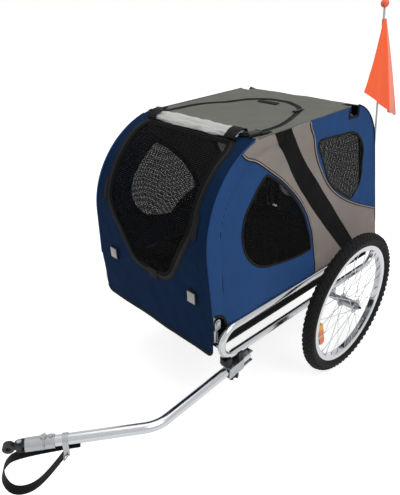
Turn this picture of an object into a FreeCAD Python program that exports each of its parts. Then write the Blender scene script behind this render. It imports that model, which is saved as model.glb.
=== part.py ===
"""Dog trailer for a bicycle: folding tube frame, cloth cabin, two spoked wheels, tow bar and flag.

Millimetres. +X points to the bicycle, +Y to the trailer's left, +Z up. While it is built, x is zero
at the wheels' axis and z is zero on the ground; at the end everything moves so that the origin is
under the middle of the whole trailer, on the ground.
"""
import FreeCAD
import Part
import math
import os

V = FreeCAD.Vector
SIDES = (("left", 1), ("right", -1))
UP = V(0, 0, 1)
ACROSS = V(0, 1, 0)

# Clearances and cuts
running_clearance = 0.05
moving_clearance = 0.3
cloth_clearance = 0.3
cut_overrun = 5.0

# Wheels: 20 inch, 47-406 tyre on a box rim
tyre_diameter = 496.0
tyre_wall = 3.0
rim_seat_diameter = 406.0
rim_width = 25.0
rim_wall = 2.0
rim_flange_height = 5.0
rim_depth = 13.0
rim_corner = 3.5
wheel_track = 688.0
hub_width = 66.0
hub_barrel_diameter = 30.0
hub_nose_diameter = 25.0
hub_flange_diameter = 46.0
hub_flange_thickness = 3.0
hub_flange_spacing = 52.0
spoke_circle_diameter = 38.0
spokes_per_flange = 14
spoke_crossing_steps = 2
spoke_diameter = 2.0
nipple_diameter = 4.0
nipple_length = 12.0
nipple_seat_depth = 1.0
reflector_length = 96.0
reflector_width = 24.0
reflector_radius = 163.0
reflector_angle_deg = -17.0
axle_diameter = 12.0
axle_head_diameter = 18.0
axle_head_length = 6.0
axle_inner_reach = 30.0
button_diameter = 8.0
button_length = 26.0
button_projection = 6.0
button_clearance = 0.1
button_bore_depth = 30.0

# Lower frame: two side loops, two cross tubes
wheel_to_rail = 78.0
rail_spacing = wheel_track - 2 * wheel_to_rail
rail_diameter = 22.0
tube_wall = 1.5
upper_rail_z = 365.0
lower_rail_z = 270.0
cross_tube_diameter = 19.0

# Axle brackets under the lower rails
receiver_diameter = 21.0
receiver_inner_reach = 24.0
saddle_length = 40.0
saddle_width = 28.0

# Cabin outline, seen from the side
front_foot_x = 556.0
front_foot_z = 290.0
front_lean_deg = 3.3
crown_radius = 270.0
roof_front_x = 378.0
roof_front_z = 853.0
roof_pitch_deg = 2.5
rear_foot_x = -303.0
rear_foot_z = 300.0
rear_lean_deg = 10.5
rear_corner_radius = 150.0
rail_stand_out = 4.0
cabin_width = rail_spacing - 2 * rail_stand_out
side_lean_deg = 4.57
cloth_thickness = 2.0
panel_bottom_z = 278.0
side_gap_over_rail = 0.1

# Hoops, hinges and folding top rails
hoop_diameter = 19.0
hoop_offset = 18.0
hoop_corner_radius = 30.0
front_hoop_inset = 22.0
rear_hoop_inset = 43.5
front_hoop_spacing = cabin_width - 2 * front_hoop_inset
rear_hoop_spacing = cabin_width - 2 * rear_hoop_inset
front_bar_drop = 32.0
rear_hoop_end_deg = 105.0
hoop_pivot_z = 392.0
hoop_tail = 11.0
clevis_plate = 3.0
clevis_width = 22.0
clevis_base_drop = 20.0
clevis_gap = 1.6
hinge_pin_diameter = 8.0
pin_head_diameter = 13.0
pin_head_thickness = 3.0
rail_link_diameter = 16.0
front_link_inset = 102.0
link_step = 21.0
front_link_spacing = cabin_width - 2 * front_link_inset
rear_link_spacing = front_link_spacing - 2 * link_step
rail_pin_diameter = 6.0
rail_joint_reach = 30.0
rail_drop = 6.0
rail_tail = 9.0
joint_collar_diameter = 24.0
joint_collar_width = 20.0
joint_cheek = 3.0
corner_sleeve_wall = 3.5
link_end_gap = 26.0
latch_overlap = 22.0

# Floor
tub_bottom_z = 300.0
tub_end_gap = 20.0
board_thickness = 4.0
board_margin = 1.0

# Cloth openings
front_corner_cut_width = 8.0
rear_corner_cut_width = 38.0
corner_cut_top_z = 436.0
corner_arch_radius = 46.0
notch_length = 46.0
notch_depth = 16.0
door_top_z = 842.0
door_shoulder_z = 640.0
door_bottom_z = 455.0
door_margin = 80.0
door_half_width = cabin_width / 2 - door_margin
door_foot_half_width = 78.0
door_top_radius = 25.0
door_corner_radius = 70.0
door_gap = 0.6
rear_door_top_z = 770.0
rear_door_bottom_z = 400.0
rear_door_margin = 57.0
rear_door_half_width = cabin_width / 2 - rear_door_margin
rear_door_corner_radius = 60.0
flap_front_x = 352.0
flap_turn_x = 215.0
flap_rear_x = 0.0
flap_margin = 80.0
flap_half_width = cabin_width / 2 - flap_margin
flap_rear_share = 0.505
flap_rear_half_width = flap_half_width * flap_rear_share
flap_front_radius = 20.0
flap_turn_radius = 100.0
flap_rear_radius_share = 1.3
flap_rear_radius = flap_rear_half_width * flap_rear_radius_share
window_gap = 0.4
window_mesh_thickness = 1.0
front_window_bottom_z = 465.0
front_window_top_z = 745.0
front_window_front_x = 447.0
front_window_rear_x = 122.0
rear_window_bottom_z = 566.0
rear_window_top_z = 800.0
rear_window_front_x = 118.0
rear_window_rear_x = -154.0
window_point_radius = 14.0
window_turn_radius = 60.0
window_bow_radius = 110.0
front_reflector_width = 34.0
front_reflector_height = 40.0
front_reflector_thickness = 5.0
front_reflector_margin = 84.0
front_reflector_spacing = cabin_width - 2 * front_reflector_margin
front_reflector_z = 450.0

# Rolled rain cover on the roof's front edge
roll_margin = 97.0
roll_length = cabin_width - 2 * roll_margin
roll_front_reach = 26.0
roll_rear_reach = 18.0
roll_height = 15.0
roll_edge_radius = 7.0
buckle_length = 36.0
buckle_width = 26.0
buckle_height = 11.0
buckle_margin = 70.0
buckle_spacing = cabin_width - 2 * buckle_margin

# Tow bar bracket under the left lower rail
bracket_pivot_x = 440.0
clamp_drop = 16.0
clamp_length = 18.0
clamp_width = 30.0
bracket_plate = 3.0
bracket_tail = 22.0
bracket_length = 88.0
bracket_inner_reach = 16.0
web_start = 24.0
pivot_bolt_diameter = 10.0
bolt_head_diameter = 17.0
bolt_head_height = 6.0
knob_place = 58.0
knob_screw_diameter = 8.0
knob_diameter = 40.0
knob_height = 15.0
knob_lobes = 5
knob_notch_diameter = 14.0

# Tow bar
bar_diameter = 28.0
bar_wall = 2.0
bar_tail = 14.0
bar_rear_run = 351.0
bar_front_run = 292.0
bar_yaw_out_deg = 4.0
bar_yaw_in_deg = 33.5
bar_bend_radius = 95.0

# Hitch at the bar's front end, measured along the bar from its bend
sleeve_wall = 3.0
sleeve_start = 245.0
sleeve_end = 313.0
sleeve_front_wall = 14.0
shank_diameter = 18.0
shank_flange_diameter = 24.0
shank_flange_thickness = 4.0
pin_place = 270.0
hitch_pin_diameter = 8.0
hitch_pin_head_diameter = 14.0
hitch_pin_head_height = 5.0
bail_wire_diameter = 3.0
bail_lift = 2.0
sleeve_bolt_place = 253.0
sleeve_bolt_diameter = 6.0
sleeve_bolt_head_diameter = 11.0
sleeve_bolt_head_height = 4.0
fork_length = 24.0
fork_width = 22.0
fork_prong = 5.0
fork_bolt_diameter = 8.0
fork_bolt_head_diameter = 13.0
fork_bolt_head_height = 4.0
eye_place = 352.0
eye_outer_diameter = 28.0
eye_bore_diameter = 12.0
eye_width = 14.0
eye_tongue = 12.0

# Safety strap: places along the bar from its bend, and heights
strap_width = 25.0
strap_thickness = 2.4
strap_route = (
    (188.0, 207.0), (335.0, 204.0), (373.0, 170.0), (384.0, 118.0),
    (366.0, 72.0), (322.0, 72.0), (276.0, 114.0), (231.0, 176.0),
)
strap_arc_share = 0.45
strap_screw_diameter = 6.0
strap_screw_head_diameter = 14.0
strap_screw_head_height = 3.0
anchor_place = 214.0
anchor_width = 14.0
anchor_band = 2.0
anchor_lug_drop = 40.0
anchor_lug_thickness = 3.0
anchor_hole_diameter = 7.0
ring_inner_width = 40.0
ring_depth = 14.0
ring_wire_diameter = 3.6

# Flag
pole_diameter = 6.0
pole_margin = 34.0
pole_side = cabin_width / 2 - pole_margin
pole_bottom_z = 300.0
pole_length = 864.0
knob_ball_diameter = 24.0
socket_wall = 3.0
socket_length = 108.0
socket_floor = 6.0
socket_arm_width = 15.0
socket_arm_height = 26.0
socket_arm_gap = 1.5
flag_top_gap = 42.0
flag_top_width = 9.0
flag_drop = 296.0
flag_reach = 100.0
flag_hem_slope = 0.708
flag_fold_depth = 9.0
flag_cloth = 1.2
flag_sleeve_length = 30.0


def polar(centre, radius, degrees):
    """A point of the side view (x, z) at an angle on a circle."""
    angle = math.radians(degrees)
    return centre[0] + radius * math.cos(angle), centre[1] + radius * math.sin(angle)


def at(point, y):
    """A side-view point (x, z) set at a place across the trailer."""
    return V(point[0], y, point[1])


def tube(wire, radius, wall):
    """A hollow tube along a wire, open at its ends."""
    return solid_rod(wire, radius).cut(solid_rod(wire, radius - wall))


def solid_rod(wire, radius):
    """A round bar along a wire."""
    edge = wire.OrderedEdges[0]
    first = edge.FirstParameter
    if edge.Orientation == "Reversed":
        first = edge.LastParameter
    ring = Part.Wire(Part.makeCircle(radius, edge.valueAt(first), edge.tangentAt(first)))
    return wire.makePipeShell([ring], True, False)


def rounded_path(points, radius_of):
    """A wire of straight runs joined by tangent arcs; radius_of gives the arc's radius at a point."""
    edges = []
    start = points[0]
    for before, corner, after in zip(points, points[1:], points[2:]):
        to_before = (before - corner).normalize()
        to_after = (after - corner).normalize()
        half = to_before.getAngle(to_after) / 2
        radius = radius_of(before, corner, after)
        reach = radius / math.tan(half)
        entry = corner + to_before * reach
        leave = corner + to_after * reach
        bisector = (to_before + to_after).normalize()
        middle = corner + bisector * (radius / math.sin(half) - radius)
        edges.append(Part.LineSegment(start, entry).toShape())
        edges.append(Part.Arc(entry, middle, leave).toShape())
        start = leave
    edges.append(Part.LineSegment(start, points[-1]).toShape())
    return Part.Wire(edges)


def rod(start, end, diameter):
    """A straight round bar between two points."""
    run = end - start
    return Part.makeCylinder(diameter / 2, run.Length, start, run)


def hexagon(base, diameter, height):
    """A hexagonal bolt head or nut standing on a point, axis up."""
    points = []
    for corner in range(6):
        angle = math.radians(60 * corner)
        points.append(base + V(math.cos(angle), math.sin(angle), 0) * (diameter / 2))
    return Part.Face(Part.makePolygon(points + points[:1])).extrude(UP * height)


def box(low, high):
    """A box between two opposite corners."""
    size = high - low
    return Part.makeBox(size.x, size.y, size.z, low)


def mirrored(shape):
    """The same piece on the other side of the trailer."""
    return shape.mirror(V(0, 0, 0), ACROSS)


def both_sides(shape):
    """A piece and its mirror image, as separate solids."""
    return Part.makeCompound([shape, mirrored(shape)])


def ring_about_axle(outline, holes=()):
    """A body of revolution about the wheel's axis, from outlines of (radius, offset across)."""
    faces = []
    for corners in (outline, *holes):
        points = [V(0, offset, radius) for radius, offset in corners]
        faces.append(Part.Face(Part.makePolygon(points + points[:1])))
    section = faces[0]
    for hole in faces[1:]:
        section = section.cut(hole)
    return section.revolve(V(0, 0, 0), ACROSS, 360)


# Wheel sizes that follow from the above
axle_z = tyre_diameter / 2
rim_seat_radius = rim_seat_diameter / 2
rim_inner_radius = rim_seat_radius - rim_depth
bead_half_width = rim_width / 2 - rim_wall
hub_face = hub_width / 2
wheel_plane = wheel_track / 2
rail_y = rail_spacing / 2


def make_tyre():
    """An open tyre section turned about the axle, with its beads on the rim."""
    crown = tyre_diameter / 2
    flange = rim_seat_radius + rim_flange_height
    inner = bead_half_width - tyre_wall
    corners = [
        V(0, bead_half_width, flange), V(0, -bead_half_width, flange),
        V(0, -bead_half_width, rim_seat_radius), V(0, -inner, rim_seat_radius), V(0, -inner, flange),
        V(0, inner, flange), V(0, inner, rim_seat_radius), V(0, bead_half_width, rim_seat_radius),
    ]
    edges = [
        Part.Arc(corners[0], V(0, 0, crown), corners[1]).toShape(),
        Part.LineSegment(corners[1], corners[2]).toShape(),
        Part.LineSegment(corners[2], corners[3]).toShape(),
        Part.LineSegment(corners[3], corners[4]).toShape(),
        Part.Arc(corners[4], V(0, 0, crown - tyre_wall), corners[5]).toShape(),
        Part.LineSegment(corners[5], corners[6]).toShape(),
        Part.LineSegment(corners[6], corners[7]).toShape(),
        Part.LineSegment(corners[7], corners[0]).toShape(),
    ]
    return Part.Face(Part.Wire(edges)).revolve(V(0, 0, 0), ACROSS, 360)


def make_rim():
    """A hollow box rim with two flanges that hold the tyre's beads."""
    half = rim_width / 2
    flange = rim_seat_radius + rim_flange_height
    floor = rim_inner_radius
    outline = (
        (floor, -half + rim_corner), (floor + rim_corner, -half), (flange, -half),
        (flange, -bead_half_width), (rim_seat_radius, -bead_half_width),
        (rim_seat_radius, bead_half_width), (flange, bead_half_width), (flange, half),
        (floor + rim_corner, half), (floor, half - rim_corner),
    )
    low = floor + rim_wall
    high = rim_seat_radius - rim_wall
    hollow = (
        (low, -half + rim_corner), (floor + rim_corner, -bead_half_width), (high, -bead_half_width),
        (high, bead_half_width), (floor + rim_corner, bead_half_width), (low, half - rim_corner),
    )
    return ring_about_axle(outline, (hollow,))


def make_hub():
    """A flanged hub shell that turns on the axle."""
    bore = axle_diameter / 2 + running_clearance
    barrel = hub_barrel_diameter / 2
    nose = hub_nose_diameter / 2
    flange = hub_flange_diameter / 2
    inner = (hub_flange_spacing - hub_flange_thickness) / 2
    outer = (hub_flange_spacing + hub_flange_thickness) / 2
    half_outline = ((barrel, inner), (flange, inner), (flange, outer), (nose, outer), (nose, hub_face))
    outline = [(bore, -hub_face)]
    outline += [(radius, -offset) for radius, offset in reversed(half_outline)]
    outline += half_outline
    outline.append((bore, hub_face))
    return ring_about_axle(outline)


def spoke_offset(radius):
    """How far a spoke lies from the wheel's middle plane, at a radius."""
    hub = spoke_circle_diameter / 2
    return hub_flange_spacing / 2 * (rim_inner_radius - radius) / (rim_inner_radius - hub)


def make_spokes():
    """Crossed spokes, each with its nipple, from both flanges to the rim."""
    spokes = []
    step = 360.0 / spokes_per_flange
    lift = (hub_flange_thickness + spoke_diameter) / 2
    for flange in (1, -1):
        for number in range(spokes_per_flange):
            lean = 1 if number % 2 else -1
            rim_angle = math.radians(step * (number + flange / 4))
            hub_angle = rim_angle + math.radians(step * spoke_crossing_steps * lean)
            hub_offset = flange * (hub_flange_spacing / 2 + lift * lean)
            hub_radius = spoke_circle_diameter / 2
            head = V(hub_radius * math.cos(hub_angle), hub_offset, hub_radius * math.sin(hub_angle))
            seat = rim_inner_radius + nipple_seat_depth
            foot = V(seat * math.cos(rim_angle), 0, seat * math.sin(rim_angle))
            neck = foot + (head - foot).normalize() * nipple_length
            spokes.append(rod(head, foot, spoke_diameter).fuse(rod(neck, foot, nipple_diameter)))
    return Part.makeCompound(spokes)


def make_spoke_reflector():
    """A flat reflector clipped between the two sets of spokes, with grooves for them."""
    half = spoke_offset(reflector_radius) - spoke_diameter / 2
    end = (reflector_length - reflector_width) / 2
    round_end = reflector_width / 2
    corners = [
        V(-round_end, -half, -end), V(0, -half, -end - round_end), V(round_end, -half, -end),
        V(round_end, -half, end), V(0, -half, end + round_end), V(-round_end, -half, end),
    ]
    edges = [
        Part.Arc(corners[0], corners[1], corners[2]).toShape(),
        Part.LineSegment(corners[2], corners[3]).toShape(),
        Part.Arc(corners[3], corners[4], corners[5]).toShape(),
        Part.LineSegment(corners[5], corners[0]).toShape(),
    ]
    plate = Part.Face(Part.Wire(edges)).extrude(ACROSS * (2 * half))
    plate.translate(V(reflector_radius, 0, 0))
    plate.rotate(V(0, 0, 0), ACROSS, -reflector_angle_deg)
    return plate.cut(make_spokes())


def make_axle():
    """A hollow quick-release axle with a head outside the hub; left side."""
    inner = rail_y - axle_inner_reach
    head = wheel_plane + hub_face + moving_clearance
    end = head + axle_head_length
    axle = rod(V(0, inner, axle_z), V(0, head, axle_z), axle_diameter)
    axle = axle.fuse(rod(V(0, head, axle_z), V(0, end, axle_z), axle_head_diameter))
    bore = button_diameter + 2 * button_clearance
    return axle.cut(rod(V(0, end - button_bore_depth, axle_z), V(0, end + cut_overrun, axle_z), bore))


def make_axle_button():
    """The release button in the axle's outer end; left side."""
    end = wheel_plane + hub_face + moving_clearance + axle_head_length + button_projection
    button = rod(V(0, end - button_length, axle_z), V(0, end, axle_z), button_diameter)
    return button


def make_axle_bracket():
    """The axle's receiver under the lower rail, with a saddle block; left side."""
    inner = rail_y - receiver_inner_reach
    outer = wheel_plane - hub_face - moving_clearance
    receiver = rod(V(0, inner, axle_z), V(0, outer, axle_z), receiver_diameter)
    half = saddle_length / 2
    low = V(-half, rail_y - saddle_width / 2, axle_z)
    high = V(half, rail_y + saddle_width / 2, lower_rail_z)
    bracket = receiver.fuse(box(low, high))
    rail = rod(V(-saddle_length, rail_y, lower_rail_z), V(saddle_length, rail_y, lower_rail_z), rail_diameter)
    bore = axle_diameter + 2 * running_clearance
    hole = rod(V(0, inner - cut_overrun, axle_z), V(0, outer + cut_overrun, axle_z), bore)
    return bracket.cut(rail).cut(hole)


# The cabin's outline in the side view, and lines parallel to it inside
front_slope = math.tan(math.radians(front_lean_deg))
rear_slope = math.tan(math.radians(rear_lean_deg))
roof_slope = math.tan(math.radians(roof_pitch_deg))
front_along = (math.sin(math.radians(front_lean_deg)), math.cos(math.radians(front_lean_deg)))
front_inward = (-front_along[1], front_along[0])
rear_along = (math.sin(math.radians(rear_lean_deg)), math.cos(math.radians(rear_lean_deg)))
side_slope = math.tan(math.radians(side_lean_deg))


def find_crown_centre():
    """Centre of the front's round crown: it touches the front's straight foot and meets the roof."""
    dx = roof_front_x - front_foot_x
    dz = roof_front_z - front_foot_z
    along = dx * front_along[0] + dz * front_along[1]
    inward = dx * front_inward[0] + dz * front_inward[1]
    tangent = along - math.sqrt(2 * inward * crown_radius - inward ** 2)
    x = front_foot_x + front_along[0] * tangent + front_inward[0] * crown_radius
    z = front_foot_z + front_along[1] * tangent + front_inward[1] * crown_radius
    return x, z


def front_line_x(z, inset):
    """Where the front's straight foot is at a height, inset from the outside."""
    return front_foot_x + (z - front_foot_z) * front_slope - inset / front_along[1]


def rear_line_x(z, inset):
    """Where the rear wall is at a height, inset from the outside."""
    return rear_foot_x + (z - rear_foot_z) * rear_slope + inset / rear_along[1]


def roof_line_z(x, inset):
    """The roof's height at a place along the trailer, inset from the outside."""
    return roof_front_z + (roof_front_x - x) * roof_slope - inset / math.cos(math.radians(roof_pitch_deg))


crown_centre = find_crown_centre()


def find_rear_centre():
    """Centre of the round corner between the rear wall and the roof."""
    wall = rear_line_x(0, rear_corner_radius)
    roof = roof_line_z(0, rear_corner_radius)
    x = (wall + rear_slope * roof) / (1 + rear_slope * roof_slope)
    return x, roof - roof_slope * x


rear_centre = find_rear_centre()
roof_normal_deg = 90 - roof_pitch_deg
rear_normal_deg = 180 - rear_lean_deg


def crown_end_deg(inset):
    """The angle at which the crown meets the roof, inset from the outside."""
    normal = math.radians(roof_normal_deg)
    dx = roof_front_x - crown_centre[0]
    dz = roof_front_z - crown_centre[1]
    height = dx * math.cos(normal) + dz * math.sin(normal) - inset
    return roof_normal_deg - math.degrees(math.acos(height / (crown_radius - inset)))


def front_run(inset, bottom):
    """Edges of the front in the side view: straight foot, then crown."""
    radius = crown_radius - inset
    end = crown_end_deg(inset)
    foot = at((front_line_x(bottom, inset), bottom), 0)
    start = at(polar(crown_centre, radius, -front_lean_deg), 0)
    middle = at(polar(crown_centre, radius, (end - front_lean_deg) / 2), 0)
    top = at(polar(crown_centre, radius, end), 0)
    return [Part.LineSegment(foot, start).toShape(), Part.Arc(start, middle, top).toShape()]


def roof_run(inset):
    """The roof's edge in the side view."""
    front = at(polar(crown_centre, crown_radius - inset, crown_end_deg(inset)), 0)
    rear = at(polar(rear_centre, rear_corner_radius - inset, roof_normal_deg), 0)
    return [Part.LineSegment(front, rear).toShape()]


def rear_run(inset, bottom):
    """Edges of the rear in the side view: round corner, then straight wall."""
    radius = rear_corner_radius - inset
    start = at(polar(rear_centre, radius, roof_normal_deg), 0)
    middle = at(polar(rear_centre, radius, (roof_normal_deg + rear_normal_deg) / 2), 0)
    end = at(polar(rear_centre, radius, rear_normal_deg), 0)
    foot = at((rear_line_x(bottom, inset), bottom), 0)
    return [Part.Arc(start, middle, end).toShape(), Part.LineSegment(end, foot).toShape()]


def side_y(z, inset):
    """Half the cabin's width at a height, inset from the outside of the side cloth."""
    return cabin_width / 2 - side_slope * (z - upper_rail_z) - inset


def side_slab(outer_inset, inner_inset):
    """A leaning slab on the left side, between two insets from the cabin's side."""
    low = 0
    high = roof_front_z + crown_radius
    corners = [
        V(rear_foot_x - crown_radius, side_y(low, inner_inset), low),
        V(rear_foot_x - crown_radius, side_y(low, outer_inset), low),
        V(rear_foot_x - crown_radius, side_y(high, outer_inset), high),
        V(rear_foot_x - crown_radius, side_y(high, inner_inset), high),
    ]
    length = front_foot_x - rear_foot_x + 2 * crown_radius
    return Part.Face(Part.makePolygon(corners + corners[:1])).extrude(V(length, 0, 0))


def between_sides(shape, inset):
    """What lies between the two leaning sides, inset from their outside."""
    middle = side_slab(inset, side_y(0, 0))
    return shape.common(middle.fuse(mirrored(middle)).removeSplitter())


def cloth_band(outer, inner):
    """A sheet between two runs of the side view, across the whole cabin."""
    start = outer[0].firstVertex().Point
    inner_start = inner[0].firstVertex().Point
    end = outer[-1].lastVertex().Point
    inner_end = inner[-1].lastVertex().Point
    edges = outer + inner
    edges.append(Part.LineSegment(start, inner_start).toShape())
    edges.append(Part.LineSegment(end, inner_end).toShape())
    face = Part.Face(Part.Wire(Part.sortEdges(edges)[0]))
    face.translate(ACROSS * -cabin_width)
    sheet = face.extrude(ACROSS * (2 * cabin_width))
    return between_sides(sheet, cloth_thickness + cloth_clearance)


def rounded_outline(points, radii):
    """A closed wire through corner points, each rounded by its own radius."""
    count = len(points)
    edges = []
    ends = []
    for number, (corner, radius) in enumerate(zip(points, radii)):
        to_before = (points[number - 1] - corner).normalize()
        to_after = (points[(number + 1) % count] - corner).normalize()
        half = to_before.getAngle(to_after) / 2
        reach = radius / math.tan(half)
        bisector = (to_before + to_after).normalize()
        middle = corner + bisector * (radius / math.sin(half) - radius)
        entry = corner + to_before * reach
        leave = corner + to_after * reach
        edges.append(Part.Arc(entry, middle, leave).toShape())
        ends.append((entry, leave))
    for number in range(count):
        edges.append(Part.LineSegment(ends[number - 1][1], ends[number][0]).toShape())
    return Part.Wire(Part.sortEdges(edges)[0])


def prism(points, radii, along):
    """A prism on an outline with rounded corners."""
    return Part.Face(rounded_outline(points, radii)).extrude(along)


def grown(points, centre, gap):
    """Outline points moved away from a centre point by a gap."""
    return [point + (point - centre).normalize() * gap for point in points]


# The lower frame's places
rail_middle_z = (upper_rail_z + lower_rail_z) / 2
loop_front_x = front_line_x(rail_middle_z, hoop_offset)
loop_rear_x = rear_line_x(rail_middle_z, hoop_offset)
rail_radius = rail_diameter / 2


def loop_wire():
    """The middle line of a side loop: two rails joined by round ends; left side."""
    bend = (upper_rail_z - lower_rail_z) / 2
    front = loop_front_x - bend
    rear = loop_rear_x + bend
    corners = [V(rear, rail_y, upper_rail_z), V(front, rail_y, upper_rail_z)]
    corners += [V(front, rail_y, lower_rail_z), V(rear, rail_y, lower_rail_z)]
    nose = V(loop_front_x, rail_y, rail_middle_z)
    stern = V(loop_rear_x, rail_y, rail_middle_z)
    edges = [
        Part.LineSegment(corners[0], corners[1]).toShape(),
        Part.Arc(corners[1], nose, corners[2]).toShape(),
        Part.LineSegment(corners[2], corners[3]).toShape(),
        Part.Arc(corners[3], stern, corners[0]).toShape(),
    ]
    return Part.Wire(edges)


def make_cross_tubes():
    """Two tubes that join the side loops at their front and rear ends."""
    loop = solid_rod(loop_wire(), rail_radius)
    tubes = []
    for x in (loop_front_x, loop_rear_x):
        start = V(x, -rail_y, rail_middle_z)
        end = V(x, rail_y, rail_middle_z)
        outer = rod(start, end, cross_tube_diameter)
        inner = rod(start, end, cross_tube_diameter - 2 * tube_wall)
        tubes.append(outer.cut(inner).cut(loop).cut(mirrored(loop)))
    return Part.makeCompound(tubes)


# The hoops' pivots in the side view, and the half spacing of the hoops there
front_pivot = (front_line_x(hoop_pivot_z, hoop_offset), hoop_pivot_z)
rear_pivot = (rear_line_x(hoop_pivot_z, hoop_offset), hoop_pivot_z)
hoop_radius = hoop_diameter / 2
cheek_gap = hoop_radius + clevis_gap


def hinge_bracket(pivot, lean_deg, y):
    """A short post on a cross tube with a fork that holds the foot of a hoop."""
    post = (hoop_pivot_z - rail_middle_z) / math.cos(math.radians(lean_deg))
    base_top = -clevis_base_drop
    base_low = base_top - clevis_plate
    half = clevis_width / 2
    reach = cheek_gap + clevis_plate
    bracket = rod(V(0, y, -post), V(0, y, base_low), hoop_diameter)
    bracket = bracket.fuse(box(V(-half, y - reach, base_low), V(half, y + reach, base_top)))
    for side in (1, -1):
        inner = y + side * cheek_gap
        outer = y + side * reach
        cheek = box(V(-half, min(inner, outer), base_top), V(half, max(inner, outer), 0))
        bracket = bracket.fuse(cheek)
        bracket = bracket.fuse(rod(V(0, min(inner, outer), 0), V(0, max(inner, outer), 0), clevis_width))
    hole = hinge_pin_diameter + 2 * running_clearance
    bracket = bracket.cut(rod(V(0, y - 2 * reach, 0), V(0, y + 2 * reach, 0), hole))
    bracket = bracket.removeSplitter()
    bracket.rotate(V(0, 0, 0), ACROSS, lean_deg)
    bracket.translate(at(pivot, 0))
    tube_start = V(pivot[0], 0, rail_middle_z)
    tube_start.x = pivot[0] - post * math.sin(math.radians(lean_deg))
    return bracket.cut(rod(tube_start - ACROSS * rail_y, tube_start + ACROSS * rail_y, cross_tube_diameter))


def hinge_pin(pivot, y):
    """A pin with two flat heads through a hinge bracket and a hoop's foot."""
    reach = cheek_gap + clevis_plate
    centre = at(pivot, y)
    pin = rod(centre - ACROSS * reach, centre + ACROSS * reach, hinge_pin_diameter)
    for side in (1, -1):
        face = centre + ACROSS * (side * reach)
        pin = pin.fuse(rod(face, face + ACROSS * (side * pin_head_thickness), pin_head_diameter))
    return pin


def hinge_places():
    """Pivot, lean and place across of the four hinges."""
    for pivot, lean, spacing in (
        (front_pivot, front_lean_deg, front_hoop_spacing),
        (rear_pivot, rear_lean_deg, rear_hoop_spacing),
    ):
        for side in (1, -1):
            yield pivot, lean, side * spacing / 2


def make_hinge_brackets():
    """The four hoop hinges, as separate solids."""
    return Part.makeCompound([hinge_bracket(*place) for place in hinge_places()])


def make_hinge_pins():
    """The four hinge pins, as separate solids."""
    return Part.makeCompound([hinge_pin(pivot, y) for pivot, lean, y in hinge_places()])


def leaned(point, y):
    """A side-view point of a hoop's left upright, leaned inward with the cabin's side."""
    lean = math.radians(side_lean_deg)
    rise = point[1] - hoop_pivot_z
    return V(point[0], y - rise * math.sin(lean), hoop_pivot_z + rise * math.cos(lean))


def hoop_wire(pivot, lean_deg, centre, radius, start_deg, end_deg, y):
    """A hoop's middle line: two leaning uprights with a round top, and a bar across."""
    along = (math.sin(math.radians(lean_deg)), math.cos(math.radians(lean_deg)))
    tail = leaned((pivot[0] - along[0] * hoop_tail, pivot[1] - along[1] * hoop_tail), y)
    start = leaned(polar(centre, radius, start_deg), y)
    middle = leaned(polar(centre, radius, (start_deg + end_deg) / 2), y)
    end = leaned(polar(centre, radius, end_deg), y)
    turn = 90 if end_deg > start_deg else -90
    ahead = polar((0, 0), 1, end_deg + turn)
    ahead = leaned((ahead[0], ahead[1] + hoop_pivot_z), 0) - leaned((0, hoop_pivot_z), 0)
    half_turn = ahead.getAngle(-ACROSS) / 2
    reach = hoop_corner_radius * math.tan(half_turn)
    corner = end + ahead * reach
    leave = corner - ACROSS * reach
    inward = (-ahead - ACROSS).normalize()
    arc_middle = corner + inward * (hoop_corner_radius / math.cos(half_turn) - hoop_corner_radius)
    half = [
        Part.LineSegment(tail, start).toShape(),
        Part.Arc(start, middle, end).toShape(),
        Part.Arc(end, arc_middle, leave).toShape(),
    ]
    other = [mirrored(edge) for edge in half]
    across = Part.LineSegment(leave, V(leave.x, -leave.y, leave.z)).toShape()
    return Part.Wire(Part.sortEdges(half + [across] + other)[0]), leave, Part.Wire(half[-1])


def make_hoop(wire, pivot, spacing):
    """A bent tube with a hinge hole through each foot."""
    hoop = tube(wire, hoop_radius, tube_wall)
    hole = hinge_pin_diameter + 2 * running_clearance
    for side in (1, -1):
        centre = at(pivot, side * spacing / 2)
        hoop = hoop.cut(rod(centre - ACROSS * hoop_diameter, centre + ACROSS * hoop_diameter, hole))
    return hoop


front_bar_rise = roof_front_z - front_bar_drop - crown_centre[1]
front_hoop_end_deg = math.degrees(math.asin(front_bar_rise / (crown_radius - hoop_offset)))
front_hoop_wire, front_bar_end, _ = hoop_wire(
    front_pivot, front_lean_deg, crown_centre, crown_radius - hoop_offset,
    -front_lean_deg, front_hoop_end_deg, front_hoop_spacing / 2)
rear_hoop_wire, rear_bar_end, rear_corner_arc = hoop_wire(
    rear_pivot, rear_lean_deg, rear_centre, rear_corner_radius - hoop_offset,
    rear_normal_deg, rear_hoop_end_deg, rear_hoop_spacing / 2)


def make_corner_sleeve(arc):
    """A moulded sleeve round a hoop's corner bend; left side."""
    return tube(arc, hoop_radius + corner_sleeve_wall, corner_sleeve_wall)


# The folding top rails run from a hinge behind the front bar to a latch before the rear bar
link_radius = rail_link_diameter / 2
rail_pivot = (front_bar_end.x - rail_joint_reach, front_bar_end.z - rail_drop)
rail_aim = (rear_bar_end.x, rear_bar_end.z - rail_drop)
rail_pitch_deg = math.degrees(math.atan2(rail_aim[1] - rail_pivot[1], rail_pivot[0] - rail_aim[0]))
rail_span = math.hypot(rail_aim[0] - rail_pivot[0], rail_aim[1] - rail_pivot[1])
rail_length = rail_span - joint_collar_diameter / 2 - link_end_gap
rail_knuckle = rail_length / 2
knuckle_place = (
    rail_pivot[0] - rail_knuckle * math.cos(math.radians(rail_pitch_deg)),
    rail_pivot[1] + rail_knuckle * math.sin(math.radians(rail_pitch_deg)),
)


def set_on_rail(shape):
    """Turn a piece that was built along the rail's own line into its place."""
    shape.rotate(V(0, 0, 0), ACROSS, rail_pitch_deg)
    shape.translate(at(rail_pivot, 0))
    return shape


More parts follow.
